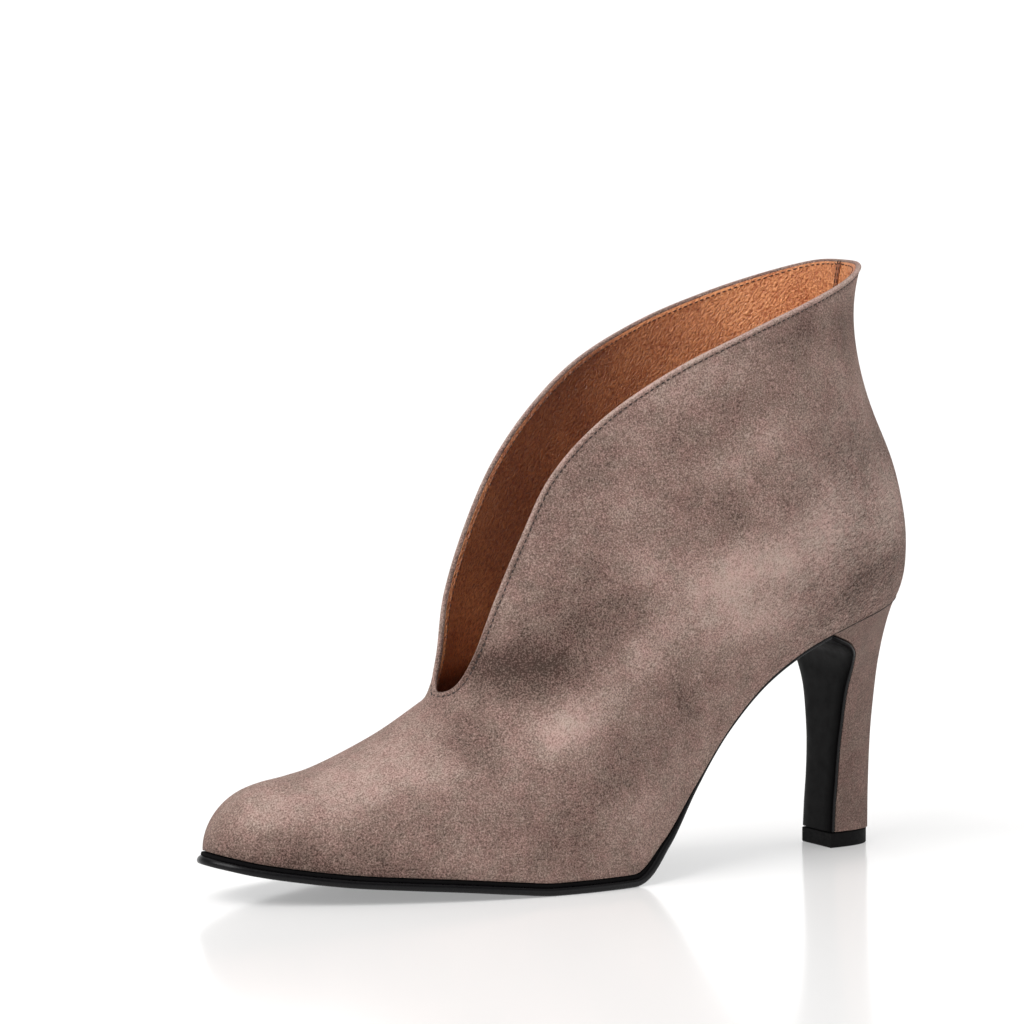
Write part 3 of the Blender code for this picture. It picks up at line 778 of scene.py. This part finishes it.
# Its colours are darker than the lining's, and a shade factor darkens it further: painted shade on the back
# wall.
shaded_strip_leather = leather("strip_calf", "#cf8a5e", "#8f4a2b", (1.0, 1.0, 1.0), (0.0, 0.0, 0.0), 0.0007, 0.0004,
                        0.45)
points = np.concatenate([laid_on.reshape(-1, 3), worn.reshape(-1, 3)])
strip = new_piece("back_strip", points, faces, [shaded_strip_leather])
tidy(strip)
set_painted_shade(strip, np.full(len(strip.data.vertices), STRIP_PAINTED_SHADE))
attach(strip, "root")

# Topstitching: a row of dark taupe thread just under the collar's edge, and its brown underside on the
# lining. Each stitch is 1.3 mm long, and they are made by Geometry Nodes along the ring of needle holes.
STITCH_SPACING = 0.0019
STITCH_LENGTH = 0.0013
THREAD = 0.00023


def stitch_nodes():
    """Tree that lays a capsule-shaped stitch at each step along a curve."""
    tree = bpy.data.node_groups.new("stitch_row", "GeometryNodeTree")
    tree.interface.new_socket("Path", in_out="INPUT", socket_type="NodeSocketGeometry")
    for name in ("Spacing", "Stitch Length", "Thread Radius"):
        tree.interface.new_socket(name, in_out="INPUT", socket_type="NodeSocketFloat")
    tree.interface.new_socket("Thread", in_out="INPUT", socket_type="NodeSocketMaterial")
    tree.interface.new_socket("Stitches", in_out="OUTPUT", socket_type="NodeSocketGeometry")
    given = add(tree, "NodeGroupInput")
    path = add(tree, "GeometryNodeCurveToPoints", {},
               {0: given.outputs["Path"], "Length": given.outputs["Spacing"]}, mode="LENGTH")
    face = add(tree, "FunctionNodeAlignRotationToVector", {}, {"Vector": path.outputs["Tangent"]}, axis="Z")
    ball = add(tree, "GeometryNodeMeshUVSphere", {"Segments": 6, "Rings": 5, "Radius": 1.0})
    radius = given.outputs["Thread Radius"]
    size = add(tree, "ShaderNodeCombineXYZ", {},
               {"X": radius, "Y": radius, "Z": given.outputs["Stitch Length"]})
    laid = add(tree, "GeometryNodeInstanceOnPoints", {},
               {"Points": path.outputs["Points"], "Instance": ball.outputs["Mesh"],
                "Rotation": face.outputs["Rotation"], "Scale": size.outputs["Vector"]})
    real = add(tree, "GeometryNodeRealizeInstances", {}, {"Geometry": laid.outputs["Instances"]})
    smooth_faces = add(tree, "GeometryNodeSetShadeSmooth", {}, {"Geometry": real.outputs["Geometry"]})
    done = add(tree, "GeometryNodeSetMaterial", {}, {"Geometry": smooth_faces.outputs["Geometry"],
                                                     "Material": given.outputs["Thread"]})
    add(tree, "NodeGroupOutput", {}, {"Stitches": done.outputs["Geometry"]})
    return tree


def vary(ramp, colour, low, high):
    """Run a colour ramp from a darker to a lighter shade of a colour."""
    for element, share in zip(ramp.elements, (low, high)):
        element.color = [min(c * share, 1.0) for c in linear(colour)[:3]] + [1.0]


def thread_material(name, colour):
    """Bonded polyester thread: satin, with its twist drawn as fine flecks of shade."""
    material, tree, shader = new_material(name)
    place = add(tree, "ShaderNodeTexCoord").outputs["Object"]
    twist = add(tree, "ShaderNodeTexNoise", {"Scale": 4000.0, "Detail": 1.0}, {"Vector": place})
    shade = add(tree, "ShaderNodeValToRGB", {}, {"Fac": twist.outputs["Fac"]})
    vary(shade.color_ramp, colour, 0.7, 1.3)
    fill(shader, {"Roughness": 0.6}, {"Base Color": shade.outputs["Color"]})
    return material


stitch_tree = stitch_nodes()


def stitch_row(name, path, closed, thread):
    """Row of stitches along a list of points, as one plain mesh."""
    curve = bpy.data.curves.new(name + "_path", "CURVE")
    curve.dimensions = "3D"
    line = curve.splines.new("POLY")
    line.points.add(len(path) - 1)
    for point, at in zip(line.points, path):
        point.co = (*at, 1.0)
    line.use_cyclic_u = closed
    guide = new_object(name + "_path", curve)
    modifier = guide.modifiers.new("stitches", "NODES")
    modifier.node_group = stitch_tree
    sockets = {item.name: item.identifier for item in stitch_tree.interface.items_tree
               if item.in_out == "INPUT"}
    modifier[sockets["Spacing"]] = STITCH_SPACING
    modifier[sockets["Stitch Length"]] = STITCH_LENGTH / 2
    modifier[sockets["Thread Radius"]] = THREAD
    modifier[sockets["Thread"]] = thread
    evaluated = guide.evaluated_get(bpy.context.evaluated_depsgraph_get())
    mesh = bpy.data.meshes.new_from_object(evaluated)
    mesh.name = name
    bpy.data.objects.remove(guide, do_unlink=True)
    bpy.data.curves.remove(curve)
    item = new_object(name, mesh)
    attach(item, "root")
    return item


def surface_of(*items):
    """Search tree over the faces of some pieces."""
    places, polygons = [], []
    for item in items:
        polygons += [[k + len(places) for k in face.vertices] for face in item.data.polygons]
        places += [vert.co.copy() for vert in item.data.vertices]
    return BVHTree.FromPolygons(places, polygons)


suede_surface = surface_of(upper)
lining_surface = surface_of(lining, strip)
dark_thread = thread_material("taupe_thread", "#2f2623")
brown_thread = thread_material("brown_thread", "#4a2c1c")
outer_holes = [suede_surface.find_nearest(Vector(p))[0] for p in crest - ring_up * STITCH_INSET]
LINING_INSET = 0.0018
LINING_REACH = 0.0015
inner_holes = [lining_surface.find_nearest(Vector(p))[0]
               for p in crest - ring_up * LINING_INSET - ring_normal * (WALL + LINING_REACH)]
stitch_row("collar_stitches", outer_holes, True, dark_thread)
stitch_row("lining_stitches", inner_holes, True, brown_thread)

strip_middle = worn[len(worn) // 2]
for name, strip_edge in (("strip_stitches_outer", worn[0]), ("strip_stitches_inner", worn[-1])):
    path = [Vector(p) for p in strip_middle + (strip_edge - strip_middle) * STRIP_STITCHES]
    stitch_row(name, path, False, brown_thread)

SEAM_SIDES = 8


def ring_faces(rings, size):
    """Faces between closed rings of points, with a cap at each end."""
    faces = []
    for k in range(rings - 1):
        for j in range(size):
            a, b = k * size + j, k * size + (j + 1) % size
            faces.append((a, b, b + size, a + size))
    return faces + [tuple(reversed(range(size))), tuple(range((rings - 1) * size, rings * size))]


def tube(name, path, radius, material):
    """Round seam along a path of points and the ways that they face."""
    points = []
    for k, (at, way) in enumerate(path):
        run = np.array(path[min(k + 1, len(path) - 1)][0]) - np.array(path[max(k - 1, 0)][0])
        across = np.cross(run, way)
        across /= np.linalg.norm(across)
        for angle in np.linspace(0, 2 * math.pi, SEAM_SIDES, endpoint=False):
            spoke = np.array(way) * math.cos(angle) + across * math.sin(angle)
            points.append(np.array(at) + spoke * radius)
    item = new_piece(name, points, ring_faces(len(path), SEAM_SIDES), [material])
    tidy(item)
    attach(item, "root")


# Closing seam: the suede's only join runs down the inner side of the foot, from just behind the bottom of
# the front cut to the sole. It is sewn, opened and hammered flat, so it shows as a fine dark line.
SEAM_TOP = 8.2
SEAM_FOOT = 9.5
SEAM_RADIUS = 0.00024
SEAM_SUNK = 0.45
seam_path = []
for row in range(row_count):
    share = row / (row_count - 1)
    place = SEAM_TOP + (SEAM_FOOT - SEAM_TOP) * share
    column = 2 * RIBS - place * RIBS / LAST
    low = int(column)
    at = skin[index[low, row]] * (1 - column + low) + skin[index[low + 1, row]] * (column - low)
    way = skin_normals[index[low, row]]
    seam_path.append((at - way * (SEAM_RADIUS * SEAM_SUNK), way))
tube("closing_seam", seam_path, SEAM_RADIUS, dark_thread)

# Insock: the brown leather cover of the insole, slightly dished where a foot rests, tucked in under the
# lining all round.
INSOLE_THICKNESS = 0.0024
DISH = 0.0005
INSOCK_STEPS = 12
SEARCH_STEPS = 30


def bottom_height(x):
    """Height of the upper's bottom edge above the floor, at a place along the shoe."""
    low, high = 0.0, float(LAST)
    for _ in range(SEARCH_STEPS):
        middle = 0.5 * (low + high)
        if edge_point(middle, 1).x > x:
            low = middle
        else:
            high = middle
    return edge_point(low, 1).z


def insock_line(side):
    """Edge of the insock on one side, from the toe to the heel."""
    line = []
    for i in range(RIBS + 1):
        place = LAST * i / RIBS
        at = edge_point(place, side) - edge_outward(place, side) * (WALL + CLEARANCE)
        at.z = bottom_height(at.x)
        line.append(np.array(at))
    return np.array(line)


left_line, right_line = insock_line(1), insock_line(-1)
shares = np.linspace(0, 1, INSOCK_STEPS + 1)
sheet = left_line[:, None] * (1 - shares)[None, :, None] + right_line[:, None] * shares[None, :, None]
under = sheet.copy()
sheet[..., 2] += INSOLE_THICKNESS - DISH * np.sin(np.pi * shares)[None, :]
grid = np.arange(sheet[..., 0].size).reshape(sheet.shape[:2])
top_faces = grid_faces(grid)
faces = top_faces.tolist() + (top_faces[:, ::-1] + grid.size).tolist()
for line in (grid[:, 0], grid[:, -1]):
    faces += np.stack([line[:-1], line[1:], line[1:] + grid.size, line[:-1] + grid.size], -1).tolist()
insock_leather = leather("insock_calf", "#a86b42", "#7c4526", (1.0, 1.0, 1.0), (0.0, 0.0, 0.0), 0.0022,
                         0.0003, 0.5)
points = np.concatenate([sheet.reshape(-1, 3), under.reshape(-1, 3)])
insock = new_piece("insock", points, faces, [insock_leather])
tidy(insock)
set_painted_shade(insock, np.ones(len(insock.data.vertices)))
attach(insock, "root")
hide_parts("insole")

# Outsole: thin black leather sole. Round the forefoot its edge is a polished bead under a narrow matt lip
# that meets the suede. It thins to a line under the waist and runs on down the heel's breast as a flap.
SHANK_THICKNESS = 0.0014
WELT = 0.0011
WAIST_INSET = 0.0012
SHANK_START = 10.0
SHANK_ROWS = 2.6
BREAST_PLACE = 15.6
HEEL_INSET = 0.0004
TIP_WIDTH = 0.0160
TIP_LENGTH = 0.0176
TOP_PIECE_THICKNESS = 0.0046
TOP_PIECE_INSET = 0.0003
TIP_ROUNDNESS = 0.85
MITRE_LIMIT = 0.7
SOLE_STEPS = 234
FLAP_STEPS = 80
FLAP_BLEND = 0.12
HEEL_BASE = TOP_PIECE_THICKNESS + CLEARANCE
TIP_FRONT = TIP_LENGTH / 2 - SHANK_THICKNESS - CLEARANCE
TIP_BACK = -TIP_LENGTH / 2

HEEL_COLUMNS = ("level", "widen", "back", "breast")
HEEL_ROWS = (
    (0.00, 0.000, 0.000, 0.000),
    (0.12, 0.000, 0.010, -0.030),
    (0.26, 0.006, 0.060, -0.090),
    (0.40, 0.030, 0.140, -0.130),
    (0.54, 0.105, 0.280, -0.160),
    (0.68, 0.215, 0.460, -0.170),
    (0.79, 0.400, 0.630, -0.155),
    (0.88, 0.620, 0.790, -0.050),
    (0.94, 0.800, 0.890, 0.240),
    (1.00, 1.000, 1.000, 1.000),
)
HEEL = dict(zip(HEEL_COLUMNS, zip(*HEEL_ROWS)))


def heel_level(name, level):
    """How far the heel's outline has gone from the tip's to the seat's at a level from 0 to 1."""
    levels, values = HEEL["level"], HEEL[name]
    steps = [(b - a) / (d - c) for a, b, c, d in zip(values, values[1:], levels, levels[1:])]
    slopes = [steps[0]] + calm_slopes(steps) + [steps[-1]]
    low = min(sum(level > mark for mark in levels[1:-1]), len(levels) - 2)
    width = levels[low + 1] - levels[low]
    start, end = slopes[low] * width, slopes[low + 1] * width
    return bend(values[low], values[low + 1], start, end, (level - levels[low]) / width)


def tip_point(turn, front):
    """D-shaped outline of the heel's tip, from the breast's outer corner round the back to its inner one."""
    angle = math.pi * turn
    across = TIP_WIDTH / 2 * math.copysign(abs(math.cos(angle)) ** TIP_ROUNDNESS, math.cos(angle))
    return front - (front - TIP_BACK) * math.sin(angle) ** TIP_ROUNDNESS, across


def seat_point(turn):
    """Outline of the seat, from the breast's outer corner round the back to its inner corner."""
    side = 1 if turn <= 0.5 else -1
    share = 2 * turn if turn <= 0.5 else 2 * (1 - turn)
    place = BREAST_PLACE + (LAST - BREAST_PLACE) * share
    at = edge_point(place, side) - edge_outward(place, side) * HEEL_INSET
    at.x = min(at.x, edge_point(BREAST_PLACE, side).x - CLEARANCE)
    return at


def heel_point(turn, level):
    """Side of the heel at a level from the top piece, 0, to the seat, 1."""
    low_x, low_y = tip_point(turn, TIP_FRONT)
    high = seat_point(turn)
    backness = math.sin(math.pi * turn)
    reach = heel_level("back", level) * backness + heel_level("breast", level) * (1 - backness)
    y = low_y + (high.y - low_y) * heel_level("widen", level)
    z = HEEL_BASE + (high.z - CLEARANCE - HEEL_BASE) * level
    return Vector((low_x + (high.x - low_x) * reach, y, z))


def shank_share(place):
    """From 0 under the ball to 1 under the waist."""
    share = min(max((place - SHANK_START) / SHANK_ROWS, 0.0), 1.0)
    return share * share * (3 - 2 * share)


def turned(way):
    """Direction square to a path in the side view, on the side that faces the floor and then the toe."""
    return Vector((-way.z, 0.0, way.x)).normalized()


# Edge's profile from its top to its underside: out in halves of the thickness, down in whole ones.
BEAD_STEPS = 12
half_turns = [math.pi * k / BEAD_STEPS for k in range(BEAD_STEPS + 1)]
forefoot_edge = [(-0.3, 0.0), (0.40, 0.0), (0.52, 0.02), (0.56, 0.06), (0.56, 0.24), (0.50, 0.29)]
forefoot_edge += [(0.42 + 0.58 * math.sin(a), 0.655 - 0.345 * math.cos(a)) for a in half_turns]
waist_edge = [(-0.3 + 0.05 * k, 0.0) for k in range(6)]
waist_edge += [(math.sin(a), 0.5 - 0.5 * math.cos(a)) for a in half_turns]
flap_edge = [(0.2 + 0.15 * k, 0.0) for k in range(6)]
flap_edge += [(1.0, 0.06 + 0.09 * k) for k in range(4)]
crown_turns = np.linspace(0.1, math.pi / 2, 9)
flap_edge += [(1.0 - 6.5 * (1 - math.cos(a)), 0.38 + 0.62 * math.sin(a)) for a in crown_turns]
PROFILE = len(forefoot_edge)


def edge_profile(share, drop):
    """Profile at a station: share runs from forefoot to waist, drop from waist to flap."""
    out = []
    for fore, waist, flap in zip(forefoot_edge, waist_edge, flap_edge):
        mixed = [f + (w - f) * share for f, w in zip(fore, waist)]
        out.append([m + (v - m) * drop for m, v in zip(mixed, flap)])
    return out


stations = []
for i in range(SOLE_STEPS + 1):
    place = BREAST_PLACE * i / SOLE_STEPS
    share = shank_share(place)
    thick = SOLE_THICKNESS + (SHANK_THICKNESS - SOLE_THICKNESS) * share
    ends = []
    for side in (1, -1):
        way = edge_outward(place, side)
        edge = edge_point(place, side)
        at = edge + way * (WELT - (WELT + WAIST_INSET) * share - thick / 2)
        if place > SHANK_START:
            at.x = edge.x
        at.z = bottom_height(at.x) - CLEARANCE
        ends.append((at, way))
    stations.append((ends, thick, share, 0.0))
for i in range(1, FLAP_STEPS + 1):
    level = 1.0 - i / FLAP_STEPS
    ends = []
    for turn, across in ((0.0, Vector((0, 1, 0))), (1.0, Vector((0, -1, 0)))):
        ahead = turned(heel_point(turn, level) - heel_point(turn, level + 1.0 / FLAP_STEPS))
        ends.append((heel_point(turn, level) + ahead * CLEARANCE - across * (SHANK_THICKNESS / 2), across))
    stations.append((ends, SHANK_THICKNESS, 1.0, min(i / (FLAP_STEPS * FLAP_BLEND), 1.0)))

middles = [(ends[0][0] + ends[1][0]) / 2 for ends, thick, share, drop in stations]
points = []
for k, (ends, thick, share, drop) in enumerate(stations):
    here = turned(middles[k] - middles[k - 1]) if k else turned(middles[1] - middles[0])
    later = turned(middles[k + 1] - middles[k]) if k + 1 < len(middles) else here
    down = (here + later).normalized()
    depth = down * thick / max(down.dot(here), MITRE_LIMIT)
    profile = edge_profile(share, drop)
    loop = [[at + depth * low + way * (thick / 2 * out) for out, low in profile] for at, way in ends]
    points += loop[0] + loop[1][::-1]
ring_size = 2 * PROFILE
LIP_POINTS = 5
CROWN_POINTS = 8
EDGE_SLOT, LIP_SLOT, FACE_SLOT = range(3)
slots = []
for k in range(len(stations) - 1):
    for j in range(ring_size):
        near_top = min(j, ring_size - 2 - j) < LIP_POINTS
        crowned = k >= SOLE_STEPS and abs(j - PROFILE + 0.5) < CROWN_POINTS
        on_face = crowned or j in (PROFILE - 1, ring_size - 1)
        slots.append(FACE_SLOT if on_face else LIP_SLOT if near_top else EDGE_SLOT)
slots += [LIP_SLOT, FACE_SLOT]

POLISHED = 0.08
RUBBED = 0.12
SHARP_EDGE = math.radians(50)


def black_leather(name, colour, roughness, gloss_level, coat, scale, depth):
    """Sole leather dyed black: waxed and polished on its edge, rubbed and matt elsewhere."""
    material, tree, shader = new_material(name)
    place = add(tree, "ShaderNodeTexCoord").outputs["Object"]
    wear = add(tree, "ShaderNodeTexNoise", {"Scale": scale, "Detail": 5.0, "Roughness": 0.6},
               {"Vector": place})
    gloss = add(tree, "ShaderNodeMapRange",
                {"From Min": NOISE_LOW, "From Max": NOISE_HIGH, "To Min": roughness - POLISHED,
                 "To Max": roughness + RUBBED}, {"Value": wear.outputs["Fac"]})
    shade = add(tree, "ShaderNodeValToRGB", {}, {"Fac": wear.outputs["Fac"]})
    vary(shade.color_ramp, colour, 0.75, 1.35)
    bump = add(tree, "ShaderNodeBump", {"Strength": 0.4, "Distance": depth}, {"Height": wear.outputs["Fac"]})
    fill(shader, {"Specular IOR Level": gloss_level, "Coat Weight": coat, "Coat Roughness": 0.25},
         {"Base Color": shade.outputs["Color"], "Roughness": gloss.outputs["Result"],
          "Normal": bump.outputs["Normal"]})
    return material


edge_black = black_leather("waxed_sole_edge", "#080709", 0.28, 0.14, 0.12, 500.0, 0.0001)
lip_black = black_leather("matt_sole_lip", "#090809", 0.85, 0.08, 0.0, 1200.0, 0.0003)
face_black = black_leather("rubbed_sole_leather", "#060506", 0.42, 0.05, 0.0, 350.0, 0.0001)
faces = ring_faces(len(stations), ring_size)
outsole = new_piece("outsole_leather", points, faces, [edge_black, lip_black, face_black], slots)
tidy(outsole)
outsole.data.set_sharp_from_angle(angle=SHARP_EDGE)
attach(outsole, "root")
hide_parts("outsole")

# Heel: a moulded block covered in the upper's suede, pulled tight and glued, slimmest above its tip. Its
# cover is drawn darker than the upper, in darker colours and a lower nap tone: painted shade, for its place
# low under the upper.
HEEL_STEPS = 110
HEEL_TURN = 96
# Lower nap tone than the upper's: painted shade.
HEEL_SHADED_NAP = 0.40
HEEL_SLACK = 0.15
width = HEEL_TURN + 1
points = [heel_point(j / HEEL_TURN, i / HEEL_STEPS) for i in range(HEEL_STEPS + 1) for j in range(width)]
# Darker colours than the upper's suede: painted shade.
heel_shaded_taupe = suede("heel_cover_suede_shaded", "#ba9e94", "#826b63", "#3f302b", 0.26)
heel = new_piece("heel_cover", points, ring_faces(HEEL_STEPS + 1, width), [heel_shaded_taupe])
tidy(heel)
heel.data.set_sharp_from_angle(angle=SHARP_EDGE)
heel_ones = np.ones(len(heel.data.vertices))
set_nap_shade_and_slack(heel, heel_ones * HEEL_SHADED_NAP, heel_ones * HEEL_SLACK)
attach(heel, "root")
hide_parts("heel")

# Joint of the heel's cover with the upper: the cover's edge is tucked and glued under the upper. A thin dark
# tube round the seat, from one side of the breast to the other, is painted shadow for the narrow gap there.
SEAT_SHADOW_RADIUS = 0.00026
SEAT_SHADOW_START = BREAST_PLACE + 0.1
SEAT_STEPS = 60
seat_places = np.linspace(SEAT_SHADOW_START, LAST, SEAT_STEPS)
seat_path = []
for side, places in ((1, seat_places), (-1, seat_places[-2::-1])):
    for place in places:
        way = edge_outward(place, side)
        at = edge_point(place, side) - way * (HEEL_INSET / 2) - Vector((0, 0, CLEARANCE / 2))
        seat_path.append((at, way))
# Painted shadow: a dark material for the tube in the gap round the seat.
seat_shadow_black, _, seat_shadow_shader = new_material("painted_seat_shadow")
fill(seat_shadow_shader, {"Base Color": linear("#2b211d"), "Roughness": 0.9})
tube("seat_shadow_line", seat_path, SEAT_SHADOW_RADIUS, seat_shadow_black)

# Top piece: a hard black lift nailed under the heel, a little smaller than the heel's tip, with edges broken
# by a sanding belt.
EDGE_BREAK = 0.00025
LIFT_SHARP_EDGE = math.radians(30)
shrink = 1 - 2 * TOP_PIECE_INSET / TIP_WIDTH
outline = [tip_point(j / HEEL_TURN, TIP_LENGTH / 2) for j in range(HEEL_TURN + 1)]
levels = ((0.0, EDGE_BREAK), (EDGE_BREAK, 0.0), (TOP_PIECE_THICKNESS - EDGE_BREAK, 0.0),
          (TOP_PIECE_THICKNESS, EDGE_BREAK))
points = []
for height, drawn_in in levels:
    scale = shrink * (1 - 2 * drawn_in / TIP_WIDTH)
    points += [(x * scale, y * scale, height) for x, y in outline]
lift_black = black_leather("moulded_lift", "#0a090a", 0.6, 0.10, 0.0, 900.0, 0.00015)
lift = new_piece("top_piece_lift", points, ring_faces(len(levels), width), [lift_black])
tidy(lift)
lift.data.set_sharp_from_angle(angle=LIFT_SHARP_EDGE)
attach(lift, "root")
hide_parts("top_piece")

# Studio: one large soft box to the left of the camera and above, a weaker one overhead, a faint one to the
# right, and a room that is white at eye level and darker towards the ceiling.
CENTRE = Vector((0.11604, 0.0, 0.10717))
CAMERA_AWAY = 1.6
CAMERA_TURN = math.radians(31.0)
CAMERA_RISE = math.radians(6.0)
FOCAL_PIXELS = 5500.0
FRAME_PIXELS = 1024
SENSOR = 36.0
level_run = math.cos(CAMERA_RISE)
to_camera = Vector((math.sin(CAMERA_TURN) * level_run, math.cos(CAMERA_TURN) * level_run,
                    math.sin(CAMERA_RISE)))
left = Vector((math.cos(CAMERA_TURN), -math.sin(CAMERA_TURN), 0.0))
up = Vector((0.0, 0.0, 1.0))
HORIZON = 0.12
CEILING = 0.5
CEILING_LIGHT = 0.26


def look(item, at):
    """Stand a light or the camera at a place and turn it to the shoe's middle."""
    item.location = at
    item.rotation_euler = (CENTRE - at).to_track_quat("-Z", "Y").to_euler()


def wide_sun(name, way, strength, spread):
    """Large soft source far away, so that the floor is lit evenly all over."""
    light = bpy.data.lights.new(name, "SUN")
    light.energy = strength
    light.angle = math.radians(spread)
    look(new_object(name, light), CENTRE + way)


wide_sun("key", left * 0.9 + to_camera * 0.75 + up * 1.3, strength=2.35, spread=45)
wide_sun("top", to_camera * -0.3 + up, strength=0.7, spread=70)
wide_sun("fill", left * -1.2 + to_camera * 0.5 + up * 0.35, strength=0.3, spread=50)
world = bpy.data.worlds.new("white_room")
world.use_nodes = True
room = world.node_tree
way = add(room, "ShaderNodeSeparateXYZ", {}, {0: add(room, "ShaderNodeTexCoord").outputs["Generated"]})
wall = add(room, "ShaderNodeMapRange",
           {"From Min": HORIZON, "From Max": CEILING, "To Min": 1.0, "To Max": CEILING_LIGHT},
           {"Value": way.outputs["Z"]}, interpolation_type="SMOOTHSTEP")
fill(room.nodes["Background"], {"Color": (1.0, 1.0, 1.0, 1.0)}, {"Strength": wall.outputs["Result"]})
bpy.context.scene.world = world
bpy.context.scene.view_settings.view_transform = "Standard"

camera_data = bpy.data.cameras.new("camera")
camera_data.sensor_width = SENSOR
camera_data.lens = SENSOR * FOCAL_PIXELS / FRAME_PIXELS
camera_data.clip_end = 100.0
camera = new_object("camera", camera_data)
look(camera, CENTRE + to_camera * CAMERA_AWAY)
bpy.context.scene.camera = camera

visual_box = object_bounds()
boxes = {"cad": cad_box, "visual": visual_box}
boxes = {name: [list(map(float, corner)) for corner in box] for name, box in boxes.items()}
